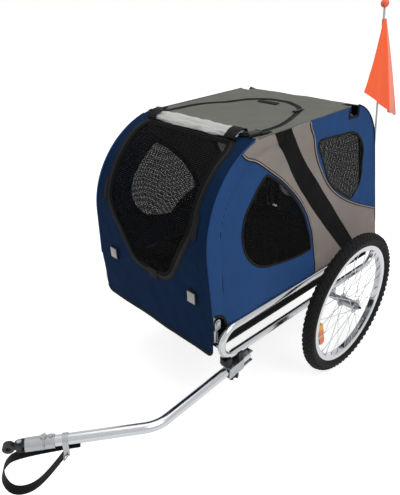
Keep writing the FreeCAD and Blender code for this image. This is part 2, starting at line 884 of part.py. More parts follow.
def link_tube(front, rear, y, holes):
    """A top rail's tube between two places behind its pivot, with pin holes."""
    link = rod(V(-front, y, 0), V(-rear, y, 0), rail_link_diameter)
    link = link.cut(rod(V(-front, y, 0), V(-rear, y, 0), rail_link_diameter - 2 * tube_wall))
    size = rail_pin_diameter + 2 * running_clearance
    for place in holes:
        centre = V(-place, y, 0)
        link = link.cut(rod(centre - ACROSS * rail_link_diameter, centre + ACROSS * rail_link_diameter, size))
    return link


def make_front_link():
    """The front half of a top rail, with the knuckle's pin; left side."""
    y = front_link_spacing / 2
    link = link_tube(-rail_tail, rail_knuckle + rail_tail, y, (0,))
    inner = rear_link_spacing / 2 - link_radius - pin_head_thickness
    pin = rod(V(-rail_knuckle, inner, 0), V(-rail_knuckle, y + link_radius, 0), rail_pin_diameter)
    return set_on_rail(link.fuse(pin))


def make_rear_link():
    """The rear half of a top rail; left side."""
    y = rear_link_spacing / 2
    return set_on_rail(link_tube(rail_knuckle - rail_tail, rail_length, y, (rail_knuckle,)))


def cheek_pair(y, front, rear, low, high):
    """Two plates beside a top rail, built along the rail's own line."""
    inner = link_radius + moving_clearance
    outer = inner + joint_cheek
    plates = [box(V(-rear, y + inner, low), V(-front, y + outer, high))]
    plates.append(box(V(-rear, y - outer, low), V(-front, y - inner, high)))
    return plates


def bar_collar(bar_end, y):
    """A collar on a hoop's bar, with its hole cut to the tube."""
    half = joint_collar_width / 2
    place = V(bar_end.x, y, bar_end.z)
    return rod(place - ACROSS * half, place + ACROSS * half, joint_collar_diameter)


def bar_bore(bar_end, y):
    """The bar's own round, to cut from what is fixed on it."""
    place = V(bar_end.x, y, bar_end.z)
    return rod(place - ACROSS * joint_collar_width, place + ACROSS * joint_collar_width, hoop_diameter)


def make_corner_joint():
    """A moulded joint on the front bar that carries a top rail's pin; left side."""
    y = front_link_spacing / 2
    high = link_radius
    plates = cheek_pair(y, -rail_joint_reach, rail_tail, -high, high)
    reach = link_radius + moving_clearance + joint_cheek
    pin = rod(V(0, y - reach, 0), V(0, y + reach, 0), rail_pin_diameter)
    parts = [set_on_rail(piece) for piece in plates + [pin]]
    joint = bar_collar(front_bar_end, y).multiFuse(parts)
    return joint.cut(bar_bore(front_bar_end, y)).removeSplitter()


def make_rear_latch():
    """A moulded latch on the rear bar, open below, over a top rail's end; left side."""
    y = rear_link_spacing / 2
    front = rail_length - latch_overlap
    top = link_radius + moving_clearance
    high = top + joint_cheek
    plates = cheek_pair(y, front, rail_span, 0, high)
    reach = link_radius + moving_clearance + joint_cheek
    plates.append(box(V(-rail_span, y - reach, top), V(-front, y + reach, high)))
    parts = [set_on_rail(piece) for piece in plates]
    latch = bar_collar(rear_bar_end, y).multiFuse(parts)
    return latch.cut(bar_bore(rear_bar_end, y)).removeSplitter()


# The tub and the floor board between the side loops
tub_half_width = rail_y - rail_radius - cloth_clearance
tub_front_x = loop_front_x - tub_end_gap
tub_rear_x = loop_rear_x + tub_end_gap


def make_floor_tub():
    """The cabin's lower cloth: a flat floor with low walls up to the upper rails."""
    low = V(tub_rear_x, -tub_half_width, tub_bottom_z)
    high = V(tub_front_x, tub_half_width, upper_rail_z)
    wall = V(cloth_thickness, cloth_thickness, cloth_thickness)
    top = high - wall
    top.z = upper_rail_z + cut_overrun
    return box(low, high).cut(box(low + wall, top))


def make_floor_board():
    """A flat board on the tub's floor."""
    inset = cloth_thickness + board_margin
    low = V(tub_rear_x + inset, -tub_half_width + inset, tub_bottom_z + cloth_thickness)
    high = V(tub_front_x - inset, tub_half_width - inset, low.z + board_thickness)
    return box(low, high)


# Outlines of the cloth's openings
front_window_shares = ((0, 0), (0.76, 0.06), (1, 0.45), (0.94, 0.7), (0.64, 1), (0.13, 0.56))
front_window_radii = (
    window_point_radius, window_turn_radius, window_turn_radius,
    window_turn_radius, window_point_radius, window_bow_radius)
rear_window_shares = ((1, 1), (0.24, 0.95), (0, 0.54), (0.02, 0.26), (0.19, 0), (0.69, 0.35))
rear_window_radii = (
    window_point_radius, window_turn_radius, window_turn_radius,
    window_turn_radius, window_point_radius, window_bow_radius)


def door_points(x):
    """Corners of the front door, wide at the top and narrow at the foot."""
    half = door_half_width
    foot = door_foot_half_width
    return [
        V(x, -half, door_top_z), V(x, half, door_top_z), V(x, half, door_shoulder_z),
        V(x, foot, door_bottom_z), V(x, -foot, door_bottom_z), V(x, -half, door_shoulder_z),
    ]


def rear_door_points(x):
    """Corners of the rear door."""
    half = rear_door_half_width
    return [
        V(x, -half, rear_door_top_z), V(x, half, rear_door_top_z),
        V(x, half, rear_door_bottom_z), V(x, -half, rear_door_bottom_z),
    ]


def window_points(shares, rear, front, bottom, top):
    """Corners of a side window from shares of its box."""
    return [V(rear + (front - rear) * along, 0, bottom + (top - bottom) * up) for along, up in shares]


def make_front_cloth():
    """The front panel and, cut from the same sheet, its door."""
    outer = front_run(0, panel_bottom_z)
    sheet = cloth_band(outer, front_run(cloth_thickness, panel_bottom_z))
    reach = crown_radius + cut_overrun
    start = crown_centre[0]
    points = door_points(start)
    centre = V(start, 0, (door_top_z + door_bottom_z) / 2)
    low_corners = len(points) - 2
    radii = [door_top_radius] * 2 + [door_corner_radius] * low_corners
    cut = prism(grown(points, centre, door_gap), radii, V(reach, 0, 0))
    fill = prism(points, radii, V(reach, 0, 0))
    panel = sheet.cut(cut)
    corner = box(
        V(start, side_y(corner_cut_top_z, front_corner_cut_width), 0),
        V(start + reach, cabin_width, corner_cut_top_z))
    panel = panel.cut(corner).cut(mirrored(corner))
    return panel, sheet.common(fill)


def make_rear_cloth():
    """The rear panel and, cut from the same sheet, its door."""
    outer = rear_run(0, panel_bottom_z)
    sheet = cloth_band(outer, rear_run(cloth_thickness, panel_bottom_z))
    start = rear_foot_x - cut_overrun
    reach = rear_centre[0] - start
    points = rear_door_points(start)
    centre = V(start, 0, (rear_door_top_z + rear_door_bottom_z) / 2)
    radii = [rear_door_corner_radius] * len(points)
    cut = prism(grown(points, centre, door_gap), radii, V(reach, 0, 0))
    fill = prism(points, radii, V(reach, 0, 0))
    corner = box(
        V(start - cut_overrun, rear_hoop_spacing / 2 - rear_corner_cut_width / 2, 0),
        V(start + reach, cabin_width, corner_cut_top_z))
    panel = sheet.cut(cut).cut(corner).cut(mirrored(corner)).cut(corner_notch())
    return panel, sheet.common(fill)


def flap_points(z):
    """Corners of the roof flap: straight in front, round behind."""
    half = flap_half_width
    rear_half = flap_rear_half_width
    return [
        V(flap_front_x, -half, z), V(flap_front_x, half, z), V(flap_turn_x, half, z),
        V(flap_rear_x, rear_half, z), V(flap_rear_x, -rear_half, z), V(flap_turn_x, -half, z),
    ]


def corner_notch():
    """The cloth's cut that bares a corner of the rear hoop; both sides."""
    half = notch_length / 2
    low = V(rear_bar_end.x - half, rear_bar_end.y, rear_bar_end.z - notch_depth)
    high = V(rear_bar_end.x + half, cabin_width, rear_bar_end.z + notch_length)
    return both_sides(box(low, high))


def make_roof_cloth():
    """The roof and, cut from the same sheet, its flap."""
    sheet = cloth_band(roof_run(0), roof_run(cloth_thickness))
    low = roof_front_z - crown_radius
    depth = 2 * crown_radius
    points = flap_points(low)
    centre = V((flap_front_x + flap_rear_x) / 2, 0, low)
    radii = (
        flap_front_radius, flap_front_radius, flap_turn_radius,
        flap_rear_radius, flap_rear_radius, flap_turn_radius)
    cut = prism(grown(points, centre, door_gap), radii, UP * depth)
    fill = prism(points, radii, UP * depth)
    return sheet.cut(cut).cut(corner_notch()), sheet.common(fill)


def side_window_outlines():
    """Corner points and radii of the two windows in a side."""
    yield window_points(
        front_window_shares, front_window_rear_x, front_window_front_x,
        front_window_bottom_z, front_window_top_z), front_window_radii
    yield window_points(
        rear_window_shares, rear_window_rear_x, rear_window_front_x,
        rear_window_bottom_z, rear_window_top_z), rear_window_radii


# The side cloth's lower edge rests on the upper rail
side_seat_offset = rail_y - side_y(upper_rail_z + rail_radius, 0)
side_bottom_z = upper_rail_z + math.sqrt((rail_radius + side_gap_over_rail) ** 2 - side_seat_offset ** 2)


def make_side_cloth():
    """A side panel with two openings, and the mesh windows that fill them; left side."""
    bottom = side_bottom_z
    edges = front_run(0, bottom) + roof_run(0) + rear_run(0, bottom)
    front = edges[0].firstVertex().Point
    rear = edges[-1].lastVertex().Point
    edges.append(Part.LineSegment(rear, front).toShape())
    whole = Part.Face(Part.Wire(Part.sortEdges(edges)[0])).extrude(ACROSS * cabin_width)
    arch = Part.makeCylinder(corner_arch_radius, cabin_width, front, ACROSS)
    panel = whole.common(side_slab(0, cloth_thickness)).cut(corner_notch()).cut(arch)
    mesh_inset = (cloth_thickness - window_mesh_thickness) / 2
    mesh_slab = side_slab(mesh_inset, mesh_inset + window_mesh_thickness)
    windows = []
    for points, radii in side_window_outlines():
        middle = sum(points, V(0, 0, 0)) * (1 / len(points))
        opening = grown(points, middle, window_gap)
        panel = panel.cut(prism(opening, radii, ACROSS * cabin_width))
        windows.append(prism(points, radii, ACROSS * cabin_width).common(mesh_slab))
    return panel, Part.makeCompound(windows)


def make_front_reflectors():
    """Two flat reflectors on the front panel, as separate solids."""
    half_width = front_reflector_width / 2
    half_height = front_reflector_height / 2
    y = front_reflector_spacing / 2
    low = V(0, y - half_width, -half_height)
    plate = box(low, V(front_reflector_thickness, y + half_width, half_height))
    plate.rotate(V(0, 0, 0), ACROSS, front_lean_deg)
    plate.translate(V(front_line_x(front_reflector_z, -cloth_clearance / 2), 0, front_reflector_z))
    return both_sides(plate)


def make_rolled_cover():
    """The rain cover rolled up flat along the roof's front edge."""
    half = roll_length / 2
    points = [
        V(-roll_rear_reach, -half, 0), V(-roll_rear_reach, -half, roll_height),
        V(roll_front_reach, -half, roll_height), V(roll_front_reach, -half, 0),
    ]
    roll = prism(points, [roll_edge_radius] * len(points), ACROSS * roll_length)
    roll.rotate(V(0, 0, 0), ACROSS, 90 - roll_normal_deg)
    roll.translate(at(polar((roof_front_x, roof_front_z), cloth_clearance, roll_normal_deg), 0))
    return roll


roll_normal_deg = (crown_end_deg(0) + roof_normal_deg) / 2


def make_cover_buckles():
    """The two strap buckles beside the rolled cover, flat on the roof, as separate solids."""
    half = buckle_width / 2
    y = buckle_spacing / 2
    top = cloth_clearance + buckle_height
    buckle = box(V(-buckle_length, y - half, cloth_clearance), V(0, y + half, top))
    buckle.rotate(V(0, 0, 0), ACROSS, roof_pitch_deg)
    buckle.translate(V(roof_front_x, 0, roof_front_z))
    return both_sides(buckle)


# The tow bar's line: it leaves its pivot, bends inward, and ends at the hitch
bar_radius = bar_diameter / 2
bracket_top_z = lower_rail_z - rail_radius - clamp_drop
bar_z = bracket_top_z - bracket_plate - moving_clearance - bar_radius
bar_pivot = V(bracket_pivot_x, rail_y, bar_z)
bar_rear_along = V(math.cos(math.radians(bar_yaw_out_deg)), math.sin(math.radians(bar_yaw_out_deg)), 0)
bar_front_along = V(math.cos(math.radians(bar_yaw_in_deg)), -math.sin(math.radians(bar_yaw_in_deg)), 0)
bar_bend = bar_pivot + bar_rear_along * bar_rear_run


def on_bar(place, aside, z):
    """A point by the bar's front run: along it from the bend, to its left, and a height."""
    left = V(-bar_front_along.y, bar_front_along.x, 0)
    point = bar_bend + bar_front_along * place + left * aside
    point.z = z
    return point


def set_on_bracket(shape):
    """Turn a piece that was built along x at the pivot to the bar's rear run."""
    shape.rotate(V(0, 0, 0), UP, bar_yaw_out_deg)
    shape.translate(V(bar_pivot.x, bar_pivot.y, 0))
    return shape


def set_on_hitch(shape):
    """Turn a piece that was built along x from the bend, at height zero, to the bar's front run."""
    shape.rotate(V(0, 0, 0), UP, -bar_yaw_in_deg)
    shape.translate(bar_bend)
    return shape


def make_bar():
    """The tow bar's bent tube, with holes for its pivot, its hitch pin and its sleeve's bolt."""
    tail = bar_pivot - bar_rear_along * bar_tail
    end = on_bar(bar_front_run, 0, bar_z)
    wire = rounded_path([tail, bar_bend, end], lambda before, corner, after: bar_bend_radius)
    bar = tube(wire, bar_radius, bar_wall)
    holes = (
        (bar_pivot, pivot_bolt_diameter), (on_bar(pin_place, 0, bar_z), hitch_pin_diameter),
        (on_bar(sleeve_bolt_place, 0, bar_z), sleeve_bolt_diameter),
    )
    for centre, size in holes:
        bore = size + 2 * running_clearance
        bar = bar.cut(rod(centre - UP * bar_diameter, centre + UP * bar_diameter, bore))
    return bar


def make_bracket():
    """A channel under the rail, open to the trailer's middle, that holds the bar's tail."""
    high = bracket_top_z
    low = high - 2 * bracket_plate - 2 * moving_clearance - bar_diameter
    outside = bar_radius + 2 * moving_clearance
    top = box(V(-bracket_tail, -bracket_inner_reach, high - bracket_plate), V(bracket_length, outside, high))
    bottom = box(V(-bracket_tail, -bracket_inner_reach, low), V(bracket_length, outside, low + bracket_plate))
    web = box(V(web_start, outside, low), V(bracket_length, outside + bracket_plate, high))
    bracket = top.multiFuse([bottom, web])
    for place, size in ((0, pivot_bolt_diameter), (knob_place, knob_screw_diameter)):
        start = V(place, 0, low - cut_overrun)
        end = V(place, 0, low + bracket_plate + cut_overrun)
        bracket = bracket.cut(rod(start, end, size + 2 * running_clearance))
    bolt = rod(V(0, 0, low), V(0, 0, high + cut_overrun), pivot_bolt_diameter + 2 * running_clearance)
    return set_on_bracket(bracket.cut(bolt))


def make_clamps():
    """Two moulded saddles between the lower rail and the bracket, as separate solids."""
    clamps = []
    rail = rod(V(loop_rear_x, rail_y, lower_rail_z), V(loop_front_x, rail_y, lower_rail_z), rail_diameter)
    for place in (bracket_length - clamp_length / 2, web_start + clamp_length / 2):
        x = bracket_pivot_x + place
        low = V(x - clamp_length / 2, rail_y - clamp_width / 2, bracket_top_z)
        high = V(x + clamp_length / 2, rail_y + clamp_width / 2, lower_rail_z)
        clamps.append(box(low, high).cut(rail))
    return Part.makeCompound(clamps)


def make_pivot_bolt():
    """The bolt that the bar swings on, with its head above and its nut below."""
    low = bracket_top_z - 2 * bracket_plate - 2 * moving_clearance - bar_diameter
    bolt = rod(V(0, 0, low), V(0, 0, bracket_top_z), pivot_bolt_diameter)
    bolt = bolt.fuse(hexagon(V(0, 0, bracket_top_z), bolt_head_diameter, bolt_head_height))
    bolt = bolt.fuse(hexagon(V(0, 0, low - bolt_head_height), bolt_head_diameter, bolt_head_height))
    return set_on_bracket(bolt)


def make_knob():
    """The star knob below the bracket, whose screw bears on the bar."""
    low = bracket_top_z - 2 * bracket_plate - 2 * moving_clearance - bar_diameter
    face = low - moving_clearance
    knob = rod(V(knob_place, 0, face - knob_height), V(knob_place, 0, face), knob_diameter)
    for lobe in range(knob_lobes):
        angle = math.radians(360.0 / knob_lobes * lobe)
        centre = V(knob_place, 0, face) + V(math.cos(angle), math.sin(angle), 0) * (knob_diameter / 2)
        foot = centre - UP * (knob_height + cut_overrun)
        knob = knob.cut(rod(foot, centre + UP * cut_overrun, knob_notch_diameter))
    tip = bar_z - bar_radius - moving_clearance
    screw = rod(V(knob_place, 0, face - knob_height / 2), V(knob_place, 0, tip), knob_screw_diameter)
    return set_on_bracket(knob.fuse(screw))


sleeve_radius = bar_radius + running_clearance + sleeve_wall


def make_sleeve():
    """The hitch's steel sleeve on the bar's end, with a front wall that the fork turns in."""
    sleeve = rod(V(sleeve_start, 0, 0), V(sleeve_end, 0, 0), 2 * sleeve_radius)
    wall = sleeve_end - sleeve_front_wall
    socket = bar_diameter + 2 * running_clearance
    sleeve = sleeve.cut(rod(V(sleeve_start - cut_overrun, 0, 0), V(wall, 0, 0), socket))
    bore = shank_diameter + 2 * running_clearance
    sleeve = sleeve.cut(rod(V(wall - cut_overrun, 0, 0), V(sleeve_end + cut_overrun, 0, 0), bore))
    for place, size in ((pin_place, hitch_pin_diameter), (sleeve_bolt_place, sleeve_bolt_diameter)):
        centre = V(place, 0, 0)
        hole = rod(centre - UP * bar_diameter, centre + UP * bar_diameter, size + 2 * running_clearance)
        sleeve = sleeve.cut(hole)
    return set_on_hitch(sleeve)


def strap_height(place):
    """The height of the strap's first run under the bar, from the bar's middle."""
    start, end = strap_route[:2]
    share = (place - start[0]) / (end[0] - start[0])
    return start[1] + (end[1] - start[1]) * share - bar_z


def under_strap(place, reach):
    """The height just under the strap, for a round head at a place along it."""
    return strap_height(place + reach) - strap_thickness / 2 - moving_clearance


def make_sleeve_bolt():
    """The bolt through sleeve and bar, with its nut under the strap."""
    low = under_strap(sleeve_bolt_place, sleeve_bolt_head_diameter / 2) - sleeve_bolt_head_height
    bolt = rod(V(sleeve_bolt_place, 0, low), V(sleeve_bolt_place, 0, sleeve_radius), sleeve_bolt_diameter)
    for base in (sleeve_radius, low):
        place = V(sleeve_bolt_place, 0, base)
        bolt = bolt.fuse(hexagon(place, sleeve_bolt_head_diameter, sleeve_bolt_head_height))
    return set_on_hitch(bolt)


def make_hitch_pin():
    """The pull pin through sleeve and bar, with its wire bail over the sleeve."""
    top = sleeve_radius
    pin = rod(V(pin_place, 0, -top), V(pin_place, 0, top), hitch_pin_diameter)
    head = V(pin_place, 0, top)
    pin = pin.fuse(rod(head, head + UP * hitch_pin_head_height, hitch_pin_head_diameter))
    wire = bail_wire_diameter / 2
    radius = sleeve_radius + bail_lift + wire
    crest = V(pin_place, 0, radius)
    arc = Part.Wire(Part.Arc(V(pin_place, -radius, 0), crest, V(pin_place, radius, 0)).toShape())
    bail = solid_rod(arc, wire)
    return set_on_hitch(pin.fuse(bail))


fork_face = sleeve_end + moving_clearance
fork_bolt_place = fork_face + fork_length - fork_width / 2


def make_fork():
    """The hitch's fork: a flanged shank in the sleeve, and two prongs in front."""
    wall = sleeve_end - sleeve_front_wall
    flange_end = wall - moving_clearance
    fork = rod(V(flange_end, 0, 0), V(fork_face, 0, 0), shank_diameter)
    flange_start = flange_end - shank_flange_thickness
    fork = fork.fuse(rod(V(flange_start, 0, 0), V(flange_end, 0, 0), shank_flange_diameter))
    high = eye_tongue / 2 + moving_clearance + fork_prong
    half = fork_width / 2
    block = box(V(fork_face, -half, -high), V(fork_bolt_place, half, high))
    centre = V(fork_bolt_place, 0, 0)
    block = block.fuse(rod(centre - UP * high, centre + UP * high, fork_width))
    gap = eye_tongue / 2 + moving_clearance
    swing = eye_place - fork_bolt_place + eye_outer_diameter
    slot_start = fork_bolt_place - half - moving_clearance
    block = block.cut(box(V(slot_start, -swing, -gap), V(fork_bolt_place + swing, swing, gap)))
    bore = fork_bolt_diameter + 2 * running_clearance
    hole = rod(centre - UP * bar_diameter, centre + UP * bar_diameter, bore)
    return set_on_hitch(fork.fuse(block).cut(hole))


def make_fork_bolt():
    """The upright bolt that the hitch's eye turns on."""
    high = eye_tongue / 2 + moving_clearance + fork_prong
    bolt = rod(V(fork_bolt_place, 0, -high), V(fork_bolt_place, 0, high), fork_bolt_diameter)
    for base in (high, -high - fork_bolt_head_height):
        bolt = bolt.fuse(hexagon(V(fork_bolt_place, 0, base), fork_bolt_head_diameter, fork_bolt_head_height))
    return set_on_hitch(bolt)


def make_eye():
    """The hitch's eye: a ring with its bore across, on a flat tongue."""
    half = eye_tongue / 2
    tongue = box(V(fork_bolt_place, -half, -half), V(eye_place, half, half))
    centre = V(fork_bolt_place, 0, 0)
    tongue = tongue.fuse(rod(centre - UP * half, centre + UP * half, fork_width - 2 * moving_clearance))
    middle = V(eye_place, 0, 0)
    side = ACROSS * (eye_width / 2)
    eye = tongue.fuse(rod(middle - side, middle + side, eye_outer_diameter))
    through = ACROSS * eye_outer_diameter
    eye = eye.cut(rod(middle - through, middle + through, eye_bore_diameter))
    bore = fork_bolt_diameter + 2 * running_clearance
    hole = rod(centre - UP * eye_outer_diameter, centre + UP * eye_outer_diameter, bore)
    return set_on_hitch(eye.cut(hole))


def strap_radius(before, corner, after):
    """The largest arc that two runs of the strap leave room for."""
    turn = math.pi - (before - corner).getAngle(after - corner)
    shorter = min((before - corner).Length, (after - corner).Length)
    return strap_arc_share * shorter / math.tan(turn / 2)


def make_strap():
    """The webbing strap: along the bar's underside, down in a loop, and back to its ring."""
    points = [V(place, 0, height - bar_z) for place, height in strap_route]
    wire = rounded_path(points, strap_radius)
    half = strap_width / 2
    thin = strap_thickness / 2
    across = (points[1] - points[0]).cross(ACROSS).normalize() * thin
    corners = [
        points[0] + across - ACROSS * half, points[0] + across + ACROSS * half,
        points[0] - across + ACROSS * half, points[0] - across - ACROSS * half,
    ]
    strap = wire.makePipeShell([Part.makePolygon(corners + corners[:1])], True, False)
    radii = [round(strap_radius(*corner), 1) for corner in zip(points, points[1:], points[2:])]
    volume_share = strap.Volume / (wire.Length * strap_width * strap_thickness)
    print("strap: length", round(wire.Length, 1), "radii", radii, "volume share", round(volume_share, 4))
    screw_at = V(strap_route[0][0] + strap_width / 2, 0, 0)
    hole = rod(screw_at - UP * bar_diameter, screw_at, strap_screw_diameter + 2 * running_clearance)
    bolt_at = V(sleeve_bolt_place, 0, 0)
    bolt_hole = rod(bolt_at - UP * bar_diameter, bolt_at, sleeve_bolt_diameter + 2 * running_clearance)
    return set_on_hitch(strap.cut(hole).cut(bolt_hole))


def make_strap_hardware():
    """The strap's screw, the anchor band on the bar and the strap's ring, as separate solids."""
    screw_at = V(strap_route[0][0] + strap_width / 2, 0, 0)
    head = screw_at + UP * under_strap(screw_at.x, strap_screw_head_diameter / 2)
    screw = rod(head - UP * strap_screw_head_height, head, strap_screw_head_diameter)
    screw = screw.fuse(rod(head, screw_at - UP * (bar_radius + running_clearance), strap_screw_diameter))
    band = rod(V(anchor_place, 0, 0), V(anchor_place + anchor_width, 0, 0), bar_diameter + 2 * anchor_band)
    lug_y = bar_radius + anchor_band
    lug = box(
        V(anchor_place, lug_y - anchor_lug_thickness, -anchor_lug_drop),
        V(anchor_place + anchor_width, lug_y, 0))
    inner = bar_diameter + 2 * running_clearance
    overrun = V(cut_overrun, 0, 0)
    bore_end = V(anchor_place + anchor_width, 0, 0) + overrun
    band = band.fuse(lug).cut(rod(V(anchor_place, 0, 0) - overrun, bore_end, inner))
    ring, hole_at = strap_ring()
    through = ACROSS * bar_diameter
    band = band.cut(rod(hole_at, hole_at + through, anchor_hole_diameter))
    return Part.makeCompound([set_on_hitch(piece) for piece in (screw, band, ring)])


def strap_ring():
    """A rectangular wire ring in the strap's end, and the middle of the hole that it hangs in."""
    end = V(strap_route[-1][0], 0, strap_route[-1][1] - bar_z)
    before = V(strap_route[-2][0], 0, strap_route[-2][1] - bar_z)
    along = (end - before).normalize()
    wire = ring_wire_diameter / 2
    half = ring_inner_width / 2 + wire
    near = end + along * (wire + moving_clearance)
    far = near + along * (ring_depth + 2 * wire)
    middle = (near + far) / 2
    corners = [middle - ACROSS * half, near - ACROSS * half, near + ACROSS * half]
    corners += [far + ACROSS * half, far - ACROSS * half, middle - ACROSS * half]
    path = rounded_path(corners, lambda a, b, c: ring_wire_diameter)
    play = anchor_hole_diameter / 2 - wire - moving_clearance
    return solid_rod(path, wire), far + along * play


# The flag's pole stands along the rear wall
pole_radius = pole_diameter / 2
socket_radius = pole_radius + moving_clearance + socket_wall
pole_foot = (rear_line_x(pole_bottom_z, -socket_radius - cloth_clearance), pole_bottom_z)


def on_pole(place, ahead, aside):
    """A point by the pole: along it from its foot, ahead of it and to its left."""
    x = pole_foot[0] + rear_along[0] * place + rear_along[1] * ahead
    z = pole_foot[1] + rear_along[1] * place - rear_along[0] * ahead
    return V(x, pole_side + aside, z)


def make_pole():
    """The flag's pole with the ball on its tip."""
    tip = on_pole(pole_length, 0, 0)
    pole = rod(on_pole(0, 0, 0), tip, pole_diameter)
    return pole.fuse(Part.makeSphere(knob_ball_diameter / 2, tip))


def make_socket():
    """A closed socket for the pole's foot, with an arm that grips the rear cross tube."""
    outer = rod(on_pole(-socket_floor, 0, 0), on_pole(socket_length, 0, 0), 2 * socket_radius)
    bore = 2 * (pole_radius + moving_clearance)
    inner = rod(on_pole(-moving_clearance, 0, 0), on_pole(socket_length + cut_overrun, 0, 0), bore)
    near = (rear_hoop_spacing + hoop_diameter) / 2 + socket_arm_gap
    half = socket_arm_height / 2
    arm = box(
        V(pole_foot[0], near, rail_middle_z - half),
        V(loop_rear_x, near + socket_arm_width, rail_middle_z + half))
    tube_middle = V(loop_rear_x, 0, rail_middle_z)
    grip = rod(tube_middle - ACROSS * rail_y, tube_middle + ACROSS * rail_y, cross_tube_diameter)
    return outer.fuse(arm).cut(inner).cut(grip)


# The flag's cloth, as places ahead of the pole and to its left, at its foot and at its top
flag_ahead_shares = (1, 0.42, 0, -0.5, -0.72, -0.82, -0.92)
flag_fold_shares = (0.3, 1, 0.45, 1, -0.35, 2.2, 0.6)


def flag_section(drop, slope, width, depth):
    """A closed section of the hanging flag across its folds."""
    near = []
    far = []
    for ahead_share, fold_share in zip(flag_ahead_shares, flag_fold_shares):
        ahead = width * ahead_share
        aside = pole_radius + moving_clearance + flag_cloth / 2 + depth * fold_share
        place = pole_length - drop + slope * ahead
        near.append(on_pole(place, ahead, aside + flag_cloth / 2))
        far.append(on_pole(place, ahead, aside - flag_cloth / 2))
    points = near + far[::-1]
    return Part.makePolygon(points + points[:1])


def make_flag():
    """The hanging flag with its folds, sewn to a sleeve on the pole."""
    top = flag_section(flag_top_gap, 0, flag_top_width, 0)
    foot = flag_section(flag_drop, flag_hem_slope, flag_reach, flag_fold_depth)
    cloth = Part.makeLoft([top, foot], True, True)
    outer = pole_radius + moving_clearance + flag_cloth
    start = on_pole(pole_length - flag_top_gap - flag_sleeve_length, 0, 0)
    end = on_pole(pole_length - flag_top_gap, 0, 0)
    sleeve = rod(start, end, 2 * outer).cut(rod(start, end, 2 * (pole_radius + moving_clearance)))
    return cloth.fuse(sleeve)


def wheel_place(side):
    """The wheel's centre on a side."""
    return V(0, side * wheel_plane, axle_z)


def make_all():
    """Every node of the trailer, by name, in the building frame."""
    nodes = {}
    for name, side in SIDES:
        for piece, make in (
            ("tyre", make_tyre), ("rim", make_rim), ("hub", make_hub),
            ("spokes", make_spokes), ("spoke_reflector", make_spoke_reflector),
        ):
            shape = make()
            shape.translate(wheel_place(side))
            nodes[f"{piece}_{name}"] = shape
    panel, windows = make_side_cloth()
    left_pieces = {
        "axle": make_axle(), "axle_button": make_axle_button(), "axle_bracket": make_axle_bracket(),
        "side_loop": tube(loop_wire(), rail_radius, tube_wall), "side_panel": panel, "side_windows": windows,
    }
    for piece, shape in left_pieces.items():
        nodes[f"{piece}_left"] = shape
        nodes[f"{piece}_right"] = mirrored(shape)
    nodes["cross_tubes"] = make_cross_tubes()
    nodes["hinge_brackets"] = make_hinge_brackets()
    nodes["hinge_pins"] = make_hinge_pins()
    nodes["floor_tub"] = make_floor_tub()
    nodes["floor_board"] = make_floor_board()
    nodes["front_hoop"] = make_hoop(front_hoop_wire, front_pivot, front_hoop_spacing)
    nodes["rear_hoop"] = make_hoop(rear_hoop_wire, rear_pivot, rear_hoop_spacing)
    nodes["corner_joints"] = both_sides(make_corner_joint())
    nodes["rear_latches"] = both_sides(make_rear_latch())
    nodes["corner_sleeves"] = both_sides(make_corner_sleeve(rear_corner_arc))
    nodes["front_links"] = both_sides(make_front_link())
    nodes["rear_links"] = both_sides(make_rear_link())
    nodes["front_panel"], nodes["front_door"] = make_front_cloth()
    nodes["rear_panel"], nodes["rear_door"] = make_rear_cloth()
    nodes["roof_panel"], nodes["roof_flap"] = make_roof_cloth()
    nodes["front_reflectors"] = make_front_reflectors()
    nodes["rolled_cover"] = make_rolled_cover()
    nodes["cover_buckles"] = make_cover_buckles()
    nodes["towbar_bracket"] = make_bracket()
    nodes["towbar_clamps"] = make_clamps()
    nodes["towbar_pivot_bolt"] = make_pivot_bolt()
    nodes["towbar_knob"] = make_knob()
    nodes["towbar"] = make_bar()
    nodes["hitch_sleeve"] = make_sleeve()
    nodes["hitch_sleeve_bolt"] = make_sleeve_bolt()
    nodes["hitch_pin"] = make_hitch_pin()
    nodes["hitch_fork"] = make_fork()
    nodes["hitch_fork_bolt"] = make_fork_bolt()
    nodes["hitch_eye"] = make_eye()
    nodes["safety_strap"] = make_strap()
    nodes["strap_hardware"] = make_strap_hardware()
    nodes["flag_pole"] = make_pole()
    nodes["flag_socket"] = make_socket()
    nodes["flag"] = make_flag()
    return nodes


def origin_of(nodes):
    """The ground under the middle of everything but the strap and what hangs on it."""
    loose = ("safety_strap", "strap_hardware")
    whole = Part.makeCompound([shape for name, shape in nodes.items() if name not in loose])
    bounds = whole.optimalBoundingBox(False, False)
    return V((bounds.XMin + bounds.XMax) / 2, (bounds.YMin + bounds.YMax) / 2, bounds.ZMin)


def main():
    """Build every node, move it to the trailer's origin and write its STEP file."""
    os.makedirs("parts", exist_ok=True)
    nodes = make_all()
    origin = origin_of(nodes)
    print("origin", round(origin.x, 3), round(origin.y, 3), round(origin.z, 3))
    for name, shape in nodes.items():
        shape.translate(-origin)
        shape.exportStep(f"parts/{name}.step")


if __name__ == "__main__":
    main()
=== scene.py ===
"""Looks of a dog trailer for a bicycle: cloth cabin, wheels, tow bar and flag around the packed CAD model."""
import math

import bmesh
import bpy
from mathutils import Matrix, Vector, noise


